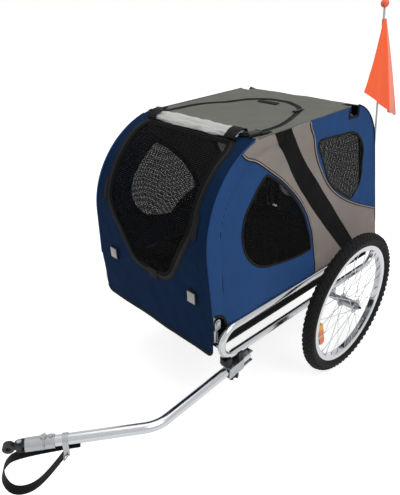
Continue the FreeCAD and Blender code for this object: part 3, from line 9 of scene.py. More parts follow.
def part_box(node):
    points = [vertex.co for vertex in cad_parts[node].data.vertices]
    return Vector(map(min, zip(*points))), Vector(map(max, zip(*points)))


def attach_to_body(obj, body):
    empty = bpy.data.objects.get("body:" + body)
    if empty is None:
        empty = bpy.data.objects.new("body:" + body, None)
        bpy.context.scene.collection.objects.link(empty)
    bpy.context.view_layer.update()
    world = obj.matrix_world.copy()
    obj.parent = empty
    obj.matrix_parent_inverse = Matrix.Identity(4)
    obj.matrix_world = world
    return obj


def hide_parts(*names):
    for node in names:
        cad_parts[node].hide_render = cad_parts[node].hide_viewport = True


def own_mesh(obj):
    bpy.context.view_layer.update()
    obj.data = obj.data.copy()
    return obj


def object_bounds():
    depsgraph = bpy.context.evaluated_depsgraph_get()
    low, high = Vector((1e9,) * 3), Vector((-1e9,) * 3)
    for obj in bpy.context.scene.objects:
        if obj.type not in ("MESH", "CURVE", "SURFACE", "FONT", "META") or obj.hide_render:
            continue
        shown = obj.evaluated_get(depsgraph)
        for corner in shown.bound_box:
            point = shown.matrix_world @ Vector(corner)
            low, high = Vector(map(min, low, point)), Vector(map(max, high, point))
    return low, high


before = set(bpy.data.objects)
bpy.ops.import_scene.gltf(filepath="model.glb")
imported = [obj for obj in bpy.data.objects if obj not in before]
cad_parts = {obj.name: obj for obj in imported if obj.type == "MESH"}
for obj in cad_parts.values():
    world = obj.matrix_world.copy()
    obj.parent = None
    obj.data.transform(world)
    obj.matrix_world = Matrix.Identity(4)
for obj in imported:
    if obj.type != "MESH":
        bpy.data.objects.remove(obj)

bl_info = {
    "name": "Dog bicycle trailer",
    "version": (1, 0, 0),
    "blender": (4, 5, 0),
    "location": "View3D > Sidebar > Trailer",
    "description": "Sews the cabin and finishes the metal of a dog trailer",
    "category": "Object",
}

CAD_LOW, CAD_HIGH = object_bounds()
SIDES = (("left", 1), ("right", -1))

# The cabin's outline as in the part's source, in metres, with x from the trailer's middle
AXLE_X = -0.391105
RAIL_Z = 0.365
CLOTH_FOOT_Z = 0.375
SKIRT_Z = 0.278
HALF_WIDTH = 0.262
SIDE_SLOPE = math.tan(math.radians(4.57))
SIDE_INSET = 0.0023
FRONT_LEAN = math.radians(3.3)
FRONT_FOOT = (AXLE_X + 0.556, 0.290)
CROWN_R = 0.270
ROOF_FRONT = (AXLE_X + 0.378, 0.853)
ROOF_PITCH = math.radians(2.5)
REAR_FOOT = (AXLE_X - 0.303, 0.300)
REAR_LEAN = math.radians(10.5)
REAR_R = 0.150
CORNER_CUT_Z = 0.436
CORNER_ARCH = 0.046
REAR_CUT_Y = 0.1995
NOTCH_REAR_X = AXLE_X - 0.101
NOTCH_FRONT_X = AXLE_X - 0.055
NOTCH_FOOT_Z = 0.840
NOTCH_SIDE_Y = 0.188
ROOF_LAP = 0.075
WHEEL_Y = 0.344
WHEEL_Z = 0.248

# How far the cloth leaves its flat: slack, sags, uneven folds and the stitched strip over the front hoop
SIDE_SLACK = 0.006
SIDE_HEIGHT = 0.49
STRIP = 0.046
STRIP_ROUND = 0.0032
STRIP_CROWN_LAP = 0.02
GROOVE_DEPTH = 0.0028
GROOVE_HALF = 0.005
FRONT_SAG = 0.005
ROOF_SAG = 0.011
REAR_SAG = 0.004
SIDE_CRINKLE = 0.0034
BAND_CRINKLE = 0.0026
SIDE_FOLDS_Y = 0.2
COARSE_FOLDS = 8.0
FINE_FOLDS = 23.0
FINE_SHARE = 0.45

# Places well outside every pattern, for the regions that cloth is cut to
FAR_AHEAD = 0.4
FAR_ASIDE = 0.4
FAR_BEHIND = -1.0
FAR_BELOW = 0.34
FAR_ABOVE = 1.0


def find_crown():
    """Centre of the front's round crown and the angle at which it meets the roof."""
    along = Vector((math.sin(FRONT_LEAN), math.cos(FRONT_LEAN)))
    inward = Vector((-along.y, along.x))
    reach = Vector(ROOF_FRONT) - Vector(FRONT_FOOT)
    aside = reach.dot(inward)
    start = reach.dot(along) - math.sqrt(2 * aside * CROWN_R - aside ** 2)
    centre = Vector(FRONT_FOOT) + along * start + inward * CROWN_R
    top = Vector(ROOF_FRONT) - centre
    return centre, math.atan2(top.y, top.x)


def find_rear_centre():
    """Centre of the round corner between the rear wall and the roof."""
    wall = REAR_FOOT[0] - REAR_FOOT[1] * math.tan(REAR_LEAN) + REAR_R / math.cos(REAR_LEAN)
    slope = math.tan(ROOF_PITCH)
    roof = ROOF_FRONT[1] + ROOF_FRONT[0] * slope - REAR_R / math.cos(ROOF_PITCH)
    x = (wall + math.tan(REAR_LEAN) * roof) / (1 + math.tan(REAR_LEAN) * slope)
    return Vector((x, roof - slope * x))


CROWN, CROWN_END = find_crown()
REAR_CENTRE = find_rear_centre()
ROOF_NORMAL = math.pi / 2 - ROOF_PITCH
REAR_NORMAL = math.pi - REAR_LEAN


def polar(centre, radius, angle):
    """A point of the side view on a circle."""
    return Vector((centre.x + radius * math.cos(angle), centre.y + radius * math.sin(angle)))


CROWN_FOOT = polar(CROWN, CROWN_R, -FRONT_LEAN)
ROOF_REAR = polar(REAR_CENTRE, REAR_R, ROOF_NORMAL)
REAR_TOP = polar(REAR_CENTRE, REAR_R, REAR_NORMAL)
RUN_FOOT = (CROWN_FOOT.y - SKIRT_Z) / math.cos(FRONT_LEAN)
RUN_CROWN = RUN_FOOT + CROWN_R * (CROWN_END + FRONT_LEAN)
RUN_ROOF = RUN_CROWN + (Vector(ROOF_FRONT) - ROOF_REAR).length
RUN_REAR = RUN_ROOF + REAR_R * (REAR_NORMAL - ROOF_NORMAL)
RUN_END = RUN_REAR + (REAR_TOP.y - SKIRT_Z) / math.cos(REAR_LEAN)


def cabin_at(run):
    """Point (x, z) and outward direction of the cabin's outline, by its length from the front hem."""
    if run <= RUN_FOOT:
        back = RUN_FOOT - run
        point = CROWN_FOOT - Vector((math.sin(FRONT_LEAN), math.cos(FRONT_LEAN))) * back
        angle = -FRONT_LEAN
    elif run <= RUN_CROWN:
        angle = (run - RUN_FOOT) / CROWN_R - FRONT_LEAN
        point = polar(CROWN, CROWN_R, angle)
    elif run <= RUN_ROOF:
        angle = ROOF_NORMAL
        point = Vector(ROOF_FRONT) + Vector((-math.cos(ROOF_PITCH), math.sin(ROOF_PITCH))) * (run - RUN_CROWN)
    elif run <= RUN_REAR:
        angle = ROOF_NORMAL + (run - RUN_ROOF) / REAR_R
        point = polar(REAR_CENTRE, REAR_R, angle)
    else:
        angle = REAR_NORMAL
        point = REAR_TOP - Vector((math.sin(REAR_LEAN), math.cos(REAR_LEAN))) * (run - RUN_REAR)
    return point, Vector((math.cos(angle), math.sin(angle)))


def front_run(z):
    """Length along the outline to a height of the front."""
    if z <= CROWN_FOOT.y:
        return (z - SKIRT_Z) / math.cos(FRONT_LEAN)
    return RUN_FOOT + CROWN_R * (math.asin(min(1.0, (z - CROWN.y) / CROWN_R)) + FRONT_LEAN)


def rear_run(z):
    """Length along the outline to a height of the rear."""
    if z <= REAR_TOP.y:
        return RUN_END - (z - SKIRT_Z) / math.cos(REAR_LEAN)
    return RUN_ROOF + REAR_R * (math.pi - math.asin((z - REAR_CENTRE.y) / REAR_R) - ROOF_NORMAL)


def roof_run(x):
    """Length along the outline to a place on the roof."""
    return RUN_CROWN + (ROOF_FRONT[0] - x) / math.cos(ROOF_PITCH)


def half_width(z):
    """Half the cabin's width at a height, to the outside of the side cloth."""
    return HALF_WIDTH - SIDE_SLOPE * (z - RAIL_Z)


def swell(share):
    """Nought at both ends of a span and one in its middle."""
    return math.sin(math.pi * min(1.0, max(0.0, share)))


def crinkle(point, depth):
    """Soft uneven folds, the same for every piece at a place."""
    return depth * (noise.noise(point * COARSE_FOLDS) + FINE_SHARE * noise.noise(point * FINE_FOLDS))


def side_relief(x, z):
    """How a side leaves its flat: slack in the middle, round over the front hoop, a stitched groove."""
    span = (x - REAR_FOOT[0]) / (FRONT_FOOT[0] - REAR_FOOT[0])
    slack = -SIDE_SLACK * swell(span) * swell((z - CLOTH_FOOT_Z) / SIDE_HEIGHT)
    edge = FRONT_FOOT[0] + (z - FRONT_FOOT[1]) * math.tan(FRONT_LEAN) - x
    if z > CROWN_FOOT.y and x > CROWN.x - STRIP_CROWN_LAP:
        edge = CROWN_R - (Vector((x, z)) - CROWN).length
    groove = GROOVE_DEPTH * math.exp(-(((edge - STRIP) / GROOVE_HALF) ** 2))
    strip = STRIP_ROUND * swell(edge / STRIP) - groove
    return slack + strip + crinkle(Vector((x, SIDE_FOLDS_Y, z)), SIDE_CRINKLE)


def on_side(sign):
    """The place function of a side: pattern x and z, and how far outside the cloth."""
    def place(x, z, out):
        return Vector((x, sign * (half_width(z) + out + side_relief(x, z)), z))
    return place


def on_band(y, run, out):
    """The place of front, roof and rear cloth: across, along the outline, and how far outside."""
    point, outward = cabin_at(run)
    centre = max(0.0, 1 - (y / half_width(point.y)) ** 2)
    sag = 0.0
    if run < RUN_FOOT:
        sag = FRONT_SAG * swell(run / RUN_FOOT)
    elif RUN_CROWN < run < RUN_ROOF:
        sag = ROOF_SAG * swell((run - RUN_CROWN) / (RUN_ROOF - RUN_CROWN))
    elif run > RUN_REAR:
        sag = REAR_SAG * swell((run - RUN_REAR) / (RUN_END - RUN_REAR))
    lift = out - sag * centre + crinkle(Vector((point.x, y, point.y)), BAND_CRINKLE)
    return Vector((point.x + outward.x * lift, y, point.y + outward.y * lift))


# Outlines

def design(points):
    """Pattern points written in millimetres from the axle, as (x, z)."""
    return [Vector((AXLE_X + x / 1000, z / 1000)) for x, z in points]


def smooth_line(points, steps=8):
    """A smooth line through points."""
    line = []
    ends = [points[0] * 2 - points[1], *points, points[-1] * 2 - points[-2]]
    for a, b, c, d in zip(ends, ends[1:], ends[2:], ends[3:]):
        for step in range(steps):
            t = step / steps
            line.append(0.5 * ((2 * b) + (c - a) * t + (2 * a - 5 * b + 4 * c - d) * t * t
                               + (3 * b - a - 3 * c + d) * t ** 3))
    return line + [points[-1]]


def rounded(points, radii, steps=7):
    """A closed outline with round corners."""
    outline = []
    for number, corner in enumerate(points):
        radius = radii[number] if isinstance(radii, (list, tuple)) else radii
        before = (points[number - 1] - corner).normalized()
        after = (points[(number + 1) % len(points)] - corner).normalized()
        half = before.angle(after) / 2
        centre = corner + (before + after).normalized() * (radius / math.sin(half))
        start = corner + before * (radius / math.tan(half)) - centre
        turn = start.angle_signed(corner + after * (radius / math.tan(half)) - centre)
        for step in range(steps + 1):
            outline.append(centre + Matrix.Rotation(-turn * step / steps, 2) @ start)
    return outline


def spaced(line, step, closed=False):
    """The same line with points an even step apart."""
    points = line + line[:1] if closed else line
    total = sum((b - a).length for a, b in zip(points, points[1:]))
    count = max(2, round(total / step))
    found, gone, number = [], 0.0, 0
    for index in range(count if closed else count + 1):
        wanted = total * index / count
        while number < len(points) - 2 and gone + (points[number + 1] - points[number]).length < wanted:
            gone += (points[number + 1] - points[number]).length
            number += 1
        a, b = points[number], points[number + 1]
        found.append(a.lerp(b, min(1.0, (wanted - gone) / max((b - a).length, 1e-9))))
    return found


def sideways(line, number, closed):
    """The direction to the left of a line at one of its points."""
    last = len(line) - 1
    before = line[number - 1] if closed or number else line[0]
    after = line[(number + 1) % len(line)] if closed or number < last else line[last]
    along = (after - before).normalized()
    return Vector((-along.y, along.x))


def area(outline):
    """The area inside a closed outline, negative if it runs clockwise."""
    return sum(a.x * b.y - b.x * a.y for a, b in zip(outline, outline[1:] + outline[:1])) / 2


def inset(outline, depth):
    """A closed outline moved inward."""
    turn = 1 if area(outline) > 0 else -1
    return [p + sideways(outline, n, True) * (depth * turn) for n, p in enumerate(outline)]


# Modelling

MERGE = 0.00001
SHEAR_DEPTH = 0.05
GRID_MARGIN = 1.004
RIBBON_ROWS = 4


def deselect():
    """Leave nothing selected."""
    bpy.ops.object.select_all(action="DESELECT")


def primitive(kind, name, **settings):
    """A new mesh from one of the add operators."""
    deselect()
    getattr(bpy.ops.mesh, f"primitive_{kind}_add")(**settings)
    piece = bpy.context.active_object
    piece.name = piece.data.name = name
    return piece


def activate(piece):
    """Make a piece the only selected one."""
    deselect()
    piece.select_set(True)
    bpy.context.view_layer.objects.active = piece


def modify(piece, kind, **settings):
    """Add a modifier and apply it."""
    activate(piece)
    modifier = piece.modifiers.new(kind.title(), kind)
    for key, value in settings.items():
        setattr(modifier, key, value)
    bpy.ops.object.modifier_apply(modifier=modifier.name)


def in_edit_mode(piece, *steps):
    """Run edit operators on the whole of a piece."""
    activate(piece)
    bpy.ops.object.mode_set(mode="EDIT")
    bpy.ops.mesh.select_all(action="SELECT")
    for operator, settings in steps:
        operator(**settings)
    bpy.ops.object.mode_set(mode="OBJECT")


def face_outward(piece):
    """Merge doubles and turn every face outward."""
    in_edit_mode(
        piece, (bpy.ops.mesh.remove_doubles, {"threshold": MERGE}),
        (bpy.ops.mesh.normals_make_consistent, {"inside": False}))


def smooth(piece, degrees):
    """Smooth shading that keeps real edges."""
    activate(piece)
    bpy.ops.object.shade_smooth_by_angle(angle=math.radians(degrees))


def joined(name, pieces):
    """Several new pieces as one mesh."""
    deselect()
    for piece in pieces:
        piece.select_set(True)
    bpy.context.view_layer.objects.active = pieces[0]
    bpy.ops.object.join()
    pieces[0].name = pieces[0].data.name = name
    return pieces[0]


def copies(name, piece, places):
    """One mesh made of a model's copies, each at its own place."""
    pattern = piece.data
    made = bmesh.new()
    for matrix in places:
        start = len(made.verts)
        made.from_mesh(pattern)
        made.verts.ensure_lookup_table()
        bmesh.ops.transform(made, matrix=matrix, verts=made.verts[start:])
    mesh = bpy.data.meshes.new(name)
    made.to_mesh(mesh)
    made.free()
    bpy.data.objects.remove(piece)
    copied = bpy.data.objects.new(name, mesh)
    bpy.context.scene.collection.objects.link(copied)
    return copied


def map_by(piece, rule):
    """Write a new UV map, from a rule for each point of the mesh."""
    mesh = piece.data
    while mesh.uv_layers:
        mesh.uv_layers.remove(mesh.uv_layers[0])
    layer = mesh.uv_layers.new(name="pattern")
    for loop in mesh.loops:
        layer.data[loop.index].uv = rule(mesh.vertices[loop.vertex_index].co)


def map_cloth(piece):
    """Write the flat pattern's own metres to the piece's UV map."""
    map_by(piece, lambda point: point.xy)


def lay(piece, place):
    """Lay a flat pattern piece in its place on the cabin."""
    for vertex in piece.data.vertices:
        vertex.co = place(*vertex.co)
    face_outward(piece)


def cut_flat(piece, outline, operation):
    """Cut a flat piece along an outline, as with shears."""
    shears = primitive("circle", "shears", vertices=len(outline), radius=1, fill_type="NGON")
    for vertex, point in zip(shears.data.vertices, outline):
        vertex.co = (point.x, point.y, -SHEAR_DEPTH)
    through = {"value": (0, 0, 2 * SHEAR_DEPTH)}
    in_edit_mode(shears, (bpy.ops.mesh.extrude_region_move, {"TRANSFORM_OT_translate": through}))
    face_outward(shears)
    modify(piece, "BOOLEAN", operation=operation, object=shears, solver="EXACT")
    bpy.data.objects.remove(shears)


def cloth(name, outline, place, keep=None, holes=(), step=0.009, thick=0.0016, out=-0.0008):
    """A sheet of cloth: a flat grid cut to its outline, then laid on the cabin."""
    low = Vector((min(p.x for p in outline), min(p.y for p in outline)))
    high = Vector((max(p.x for p in outline), max(p.y for p in outline)))
    size = high - low
    across, along = (max(2, math.ceil(length / step)) for length in size)
    piece = primitive("grid", name, x_subdivisions=across, y_subdivisions=along, size=1)
    middle = (low + high) / 2
    for vertex in piece.data.vertices:
        x, y, _ = vertex.co
        vertex.co = (middle.x + x * size.x * GRID_MARGIN, middle.y + y * size.y * GRID_MARGIN, out)
    modify(piece, "SOLIDIFY", thickness=thick, offset=0)
    for region in (outline, keep):
        if region:
            cut_flat(piece, region, "INTERSECT")
    for hole in holes:
        cut_flat(piece, hole, "DIFFERENCE")
    map_cloth(piece)
    lay(piece, place)
    return piece


def ribbon(name, line, width, place, thick=0.0012, out=0.0008, crown=0.0, closed=False, step=0.008):
    """A tape or binding laid along a pattern line."""
    line = spaced(line, step, closed)
    count = len(line) if closed else len(line) - 1
    piece = primitive("grid", name, x_subdivisions=count, y_subdivisions=RIBBON_ROWS, size=1)
    for vertex in piece.data.vertices:
        number = round((vertex.co.x + 0.5) * count) % len(line)
        share = vertex.co.y
        point = line[number] + sideways(line, number, closed) * (share * width)
        vertex.co = (point.x, point.y, out + crown * (1 - (2 * share) ** 2))
    in_edit_mode(piece, (bpy.ops.mesh.remove_doubles, {"threshold": MERGE}))
    modify(piece, "SOLIDIFY", thickness=thick, offset=0)
    map_cloth(piece)
    lay(piece, place)
    return piece


def wire(name, points, radius, closed=False):
    """A round piping or wire through points."""
    curve = bpy.data.curves.new(name, "CURVE")
    curve.dimensions = "3D"
    curve.bevel_depth = radius
    curve.bevel_resolution = 4
    curve.use_fill_caps = True
    spline = curve.splines.new("POLY")
    spline.points.add(len(points) - 1)
    for spot, point in zip(spline.points, points):
        spot.co = (*point, 1)
    spline.use_cyclic_u = closed
    piece = bpy.data.objects.new(name, curve)
    bpy.context.scene.collection.objects.link(piece)
    activate(piece)
    bpy.ops.object.convert(target="MESH")
    face_outward(piece)
    return piece


def piping(name, line, radius, place, out=0.001, closed=False, step=0.008):
    """Piping laid along a pattern line."""
    return wire(name, [place(p.x, p.y, out) for p in spaced(line, step, closed)], radius, closed)


def bevelled_block(name, size, bevel):
    """A block with rounded edges, about the origin."""
    block = primitive("cube", name, size=1)
    for vertex in block.data.vertices:
        vertex.co = [c * s for c, s in zip(vertex.co, size)]
    in_edit_mode(
        block, (bpy.ops.mesh.bevel, {"offset": bevel, "segments": 3, "affect": "EDGES"}))
    return block


def placed(piece, matrix):
    """Move a piece's mesh, with its object left at the origin."""
    piece.data.transform(matrix)
    piece.data.update()
    return piece


def attach(piece, finish, body, replaces=(), slot=None, folds=False, degrees=38):
    """Finish a piece: its shading, its material and the body that it moves with."""
    smooth(piece, degrees)
    piece.data.materials.clear()
    piece.data.materials.append(FINISH[finish])
    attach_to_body(piece, body)
    if folds:
        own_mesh(piece)
    if replaces:
        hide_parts(*replaces)
    return piece


def sew(outline, holes):
    """Declare a stretched sheet by the size that it was cut to."""
    wide = max(p.x for p in outline) - min(p.x for p in outline)
    long = max(p.y for p in outline) - min(p.y for p in outline)
    cut = abs(area(outline)) - sum(abs(area(hole)) for hole in holes)


# Materials

# The pole's ball, the part of a spoke reflector that is lighter, and a height that no piece reaches
BALL_HEIGHT = 0.026
AMBER_TIP_SHARE = 0.32
ABOVE_ALL_Z = 2.0
FINISH = {}


def colour(code):
    """A hex sRGB colour as linear RGBA."""
    parts = [int(code[i:i + 2], 16) / 255 for i in (1, 3, 5)]
    return [c / 12.92 if c <= 0.04045 else ((c + 0.055) / 1.055) ** 2.4 for c in parts] + [1.0]


def add(tree, kind, links=(), **settings):
    """Add a node with its settings; links are (socket, value or output) pairs."""
    made = tree.nodes.new(kind)
    for key, value in settings.items():
        setattr(made, key, value)
    for socket, value in links:
        if isinstance(value, bpy.types.NodeSocket):
            tree.links.new(value, made.inputs[socket])
        else:
            made.inputs[socket].default_value = value
    return made


def begin(name, base, roughness, **sockets):
    """A new material with its surface shader."""
    material = bpy.data.materials.new(name)
    material.use_nodes = True
    tree = material.node_tree
    shader = tree.nodes["Principled BSDF"]
    shader.inputs["Base Color"].default_value = colour(base)
    shader.inputs["Roughness"].default_value = roughness
    for key, value in sockets.items():
        shader.inputs[key.replace("_", " ")].default_value = value
    return material, tree, shader


def wave_scale(pitch):
    """The Wave node's scale for a pitch in metres."""
    return 2 * math.pi / (20 * pitch)


def tinted(tree, shader, base, coordinate, scale, spread):
    """Uneven colour over a surface, by a share of its base colour."""
    cloud = add(tree, "ShaderNodeTexNoise", [("Vector", coordinate), ("Scale", scale), ("Detail", 4.0)])
    dark = [c * (1 - spread) for c in colour(base)[:3]] + [1.0]
    light = [min(1.0, c * (1 + spread)) for c in colour(base)[:3]] + [1.0]
    mix = add(tree, "ShaderNodeMix", [(0, cloud.outputs["Fac"]), (6, dark), (7, light)], data_type="RGBA")
    tree.links.new(mix.outputs[2], shader.inputs["Base Color"])


def crossed_threads(tree, where, pitch, operation):
    """Threads both ways along the cloth's own pattern, taken together by a Math operation."""
    threads = [add(
        tree, "ShaderNodeTexWave", [("Vector", where.outputs["UV"]), ("Scale", wave_scale(pitch))],
        bands_direction=direction) for direction in ("X", "Y")]
    both = add(tree, "ShaderNodeMath", [(n, thread.outputs["Fac"]) for n, thread in enumerate(threads)],
               operation=operation)
    return both.outputs[0]


def woven(name, base, roughness=0.85, pitch=0.0026, spread=0.14, gloss=0.1):
    """Coated polyester canvas: a square weave that scatters light, with soft folds and uneven dye.

    The real thread is half a millimetre; it is drawn coarser so that it shows.
    """
    material, tree, shader = begin(name, base, roughness, Specular_IOR_Level=gloss)
    where = add(tree, "ShaderNodeTexCoord")
    weave = crossed_threads(tree, where, pitch, "MULTIPLY")
    tinted(tree, shader, base, where.outputs["Object"], 14.0, spread)
    folds = add(tree, "ShaderNodeTexNoise", [
        ("Vector", where.outputs["Object"]), ("Scale", 17.0), ("Detail", 3.0)])
    soft = add(tree, "ShaderNodeBump", [
        ("Height", folds.outputs["Fac"]), ("Distance", 0.009), ("Strength", 0.6)])
    bump = add(tree, "ShaderNodeBump", [
        ("Height", weave), ("Distance", 0.00035), ("Strength", 0.8), ("Normal", soft.outputs["Normal"])])
    tree.links.new(bump.outputs["Normal"], shader.inputs["Normal"])
    return material


def netting(name, base, opacity, pitch=0.0052):
    """Black polyester netting: dull threads with see-through gaps between them.

    The real gap is about 1.5 mm; it is drawn coarser so that it shows.
    """
    material, tree, shader = begin(name, base, 0.9, Specular_IOR_Level=0.1)
    where = add(tree, "ShaderNodeTexCoord")
    grid = crossed_threads(tree, where, pitch, "MAXIMUM")
    cover = add(tree, "ShaderNodeMapRange", [
        ("Value", grid), ("From Min", 0.2), ("From Max", 1.0),
        ("To Min", opacity - 0.31), ("To Max", min(1.0, opacity + 0.34))])
    tree.links.new(cover.outputs[0], shader.inputs["Alpha"])
    bump = add(tree, "ShaderNodeBump", [("Height", grid), ("Distance", 0.0004), ("Strength", 0.6)])
    tree.links.new(bump.outputs["Normal"], shader.inputs["Normal"])
    return material


def webbing(name, base, rib=0.003):
    """Polyester webbing or binding tape: slanting ribs, dull."""
    material, tree, shader = begin(name, base, 0.8, Specular_IOR_Level=0.2)
    where = add(tree, "ShaderNodeTexCoord")
    ribs = add(tree, "ShaderNodeTexWave", [
        ("Vector", where.outputs["UV"]), ("Scale", wave_scale(rib)), ("Distortion", 0.6)],
        bands_direction="DIAGONAL")
    tinted(tree, shader, base, where.outputs["Object"], 60.0, 0.25)
    bump = add(tree, "ShaderNodeBump", [
        ("Height", ribs.outputs["Fac"]), ("Distance", 0.0005), ("Strength", 0.6)])
    tree.links.new(bump.outputs["Normal"], shader.inputs["Normal"])
    return material


def plated(name, base, roughness, grain=900.0, depth=0.00004):
    """Plated steel: a bright skin with fine drawn marks and a slightly uneven gloss."""
    material, tree, shader = begin(name, base, roughness, Metallic=1.0)
    where = add(tree, "ShaderNodeTexCoord")
    marks = add(tree, "ShaderNodeTexNoise", [
        ("Vector", where.outputs["Object"]), ("Scale", grain), ("Detail", 2.0)])
    blotch = add(tree, "ShaderNodeTexNoise", [
        ("Vector", where.outputs["Object"]), ("Scale", 35.0), ("Detail", 5.0)])
    gloss = add(tree, "ShaderNodeMapRange", [
        ("Value", blotch.outputs["Fac"]), ("From Min", 0.3), ("From Max", 0.7),
        ("To Min", roughness * 0.7), ("To Max", roughness * 1.5)])
    tree.links.new(gloss.outputs[0], shader.inputs["Roughness"])
    tinted(tree, shader, base, where.outputs["Object"], 22.0, 0.06)
    bump = add(tree, "ShaderNodeBump", [
        ("Height", marks.outputs["Fac"]), ("Distance", depth), ("Strength", 0.4)])
    tree.links.new(bump.outputs["Normal"], shader.inputs["Normal"])
    return material


def moulded(name, base, roughness, grain=700.0, depth=0.00012, **sockets):
    """Moulded plastic, rubber, board or a baked coat: a fine even grain."""
    material, tree, shader = begin(name, base, roughness, **sockets)
    where = add(tree, "ShaderNodeTexCoord")
    spots = add(tree, "ShaderNodeTexNoise", [
        ("Vector", where.outputs["Object"]), ("Scale", grain), ("Detail", 3.0)])
    tinted(tree, shader, base, where.outputs["Object"], 40.0, 0.18)
    bump = add(tree, "ShaderNodeBump", [
        ("Height", spots.outputs["Fac"]), ("Distance", depth), ("Strength", 0.6)])
    tree.links.new(bump.outputs["Normal"], shader.inputs["Normal"])
    return material


def prismatic(name, base, tip, tip_z, pitch=0.0035):
    """Reflector acrylic: clear gloss over small prisms, with its own colour above a height."""
    material, tree, shader = begin(
        name, base, 0.3, Coat_Weight=0.12, Coat_Roughness=0.1, Specular_IOR_Level=0.25)
    where = add(tree, "ShaderNodeTexCoord")
    cells = add(tree, "ShaderNodeTexVoronoi", [("Vector", where.outputs["Object"]), ("Scale", 1 / pitch)])
    height = add(tree, "ShaderNodeSeparateXYZ", [("Vector", where.outputs["Object"])])
    upper = add(tree, "ShaderNodeMapRange", [
        ("Value", height.outputs["Z"]), ("From Min", tip_z - 0.004), ("From Max", tip_z + 0.004)])
    mix = add(tree, "ShaderNodeMix", [
        (0, upper.outputs[0]), (6, colour(base)), (7, colour(tip))], data_type="RGBA")
    tree.links.new(mix.outputs[2], shader.inputs["Base Color"])
    bump = add(tree, "ShaderNodeBump", [
        ("Height", cells.outputs["Distance"]), ("Distance", 0.0012), ("Strength", 0.4)])
    tree.links.new(bump.outputs["Normal"], shader.inputs["Normal"])
    return material


def flag_nylon(name, base, strip):
    """Thin ripstop nylon: its fluorescent dye gives light back, and a pale strip runs by its back edge."""
    # The emission is painted light: the flag glows a little in its own colour
    material, tree, shader = begin(
        name, base, 0.6, Specular_IOR_Level=0.2, Emission_Color=colour(base), Emission_Strength=0.16)
    where = add(tree, "ShaderNodeTexCoord")
    across = add(tree, "ShaderNodeSeparateXYZ", [("Vector", where.outputs["UV"])])
    near = add(tree, "ShaderNodeMapRange", [
        ("Value", across.outputs["X"]), ("From Min", 0.70), ("From Max", 0.72)])
    past = add(tree, "ShaderNodeMapRange", [
        ("Value", across.outputs["X"]), ("From Min", 0.80), ("From Max", 0.82),
        ("To Min", 1.0), ("To Max", 0.0)])
    band = add(tree, "ShaderNodeMath", [(0, near.outputs[0]), (1, past.outputs[0])], operation="MULTIPLY")
    mix = add(tree, "ShaderNodeMix", [
        (0, band.outputs[0]), (6, colour(base)), (7, colour(strip))], data_type="RGBA")
    tree.links.new(mix.outputs[2], shader.inputs["Base Color"])
    ripstop = add(tree, "ShaderNodeTexChecker", [("Vector", where.outputs["UV"]), ("Scale", 34.0)])
    bump = add(tree, "ShaderNodeBump", [
        ("Height", ripstop.outputs["Fac"]), ("Distance", 0.0003), ("Strength", 0.4)])
    tree.links.new(bump.outputs["Normal"], shader.inputs["Normal"])
    return material


def pole_glass(name, base, ball):
    """Drawn glass fibre rod, satin, with the moulded ball at its tip in the flag's colour."""
    material, tree, shader = begin(name, base, 0.35, Coat_Weight=0.2)
    where = add(tree, "ShaderNodeTexCoord")
    height = add(tree, "ShaderNodeSeparateXYZ", [("Vector", where.outputs["Object"])])
    tip = add(tree, "ShaderNodeMath", [(0, height.outputs["Z"]), (1, CAD_HIGH.z - BALL_HEIGHT)],
              operation="GREATER_THAN")
    mix = add(tree, "ShaderNodeMix", [
        (0, tip.outputs[0]), (6, colour(base)), (7, colour(ball))], data_type="RGBA")
    tree.links.new(mix.outputs[2], shader.inputs["Base Color"])
    fibres = add(tree, "ShaderNodeTexNoise", [("Vector", where.outputs["Object"]), ("Scale", 400.0)])
    bump = add(tree, "ShaderNodeBump", [
        ("Height", fibres.outputs["Fac"]), ("Distance", 0.0001), ("Strength", 0.4)])
    tree.links.new(bump.outputs["Normal"], shader.inputs["Normal"])
    return material


def make_finishes(colours):
    """Every material of the trailer, from the colours a user may change."""
    low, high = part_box("spoke_reflector_left")
    amber_edge = high.z - AMBER_TIP_SHARE * (high.z - low.z)
    FINISH.update({
        # The front's canvas is the sides' blue cloth, darkened as painted shade for the front that faces away
        # from the light
        "blue_painted_shade": woven("polyester_canvas_navy", colours.blue_painted_shade),
        "blue": woven("polyester_canvas_blue", colours.blue),
        "roof": woven("polyester_canvas_roof_grey", colours.roof_grey),
        "band": woven("polyester_canvas_band_grey", colours.band_grey),
        "black": woven("polyester_canvas_black", colours.black_cloth, spread=0.3),
        "net": netting("polyester_netting_black", colours.netting, opacity=0.52),
        "tape": webbing("polyester_binding_black", colours.black_cloth),
        "strap": webbing("polyester_webbing_black", colours.black_cloth, rib=0.0036),
        "piping": webbing("polyester_piping_pale", colours.piping, rib=0.004),
        "cover": woven(
            "coated_rain_cover_silver", colours.cover, roughness=0.36, pitch=0.005, spread=0.1, gloss=0.5),
        "tube": plated("chromed_steel_tube", colours.steel, 0.16),
        "zinc": plated("zinc_plated_steel", colours.zinc, 0.34, grain=500.0, depth=0.0001),
        "chrome": plated("chromed_rim_steel", colours.steel, 0.1),
        "rubber": moulded(
            "moulded_tyre_rubber", colours.rubber, 0.85, grain=420.0, depth=0.0004, Specular_IOR_Level=0.25),
        "plastic": moulded("moulded_black_nylon", colours.plastic, 0.58, Specular_IOR_Level=0.3),
        # Black steel; on the links it is drawn black so that they stay dark behind the window netting
        "coated": moulded(
            "black_steel", colours.plastic, 0.5, depth=0.00006, Specular_IOR_Level=0.4),
        "board": moulded("black_fibreboard", colours.board, 0.7, grain=160.0, depth=0.0005),
        "amber": prismatic("amber_reflector_acrylic", colours.amber, colours.amber_tip, amber_edge),
        "lens": prismatic("clear_reflector_acrylic", colours.lens, colours.lens, ABOVE_ALL_Z, pitch=0.005),
        "flag": flag_nylon("flag_nylon_orange", colours.flag, colours.flag_strip),
        "pole": pole_glass("glass_fibre_pole", colours.pole, colours.flag),
    })


# Cloth patterns

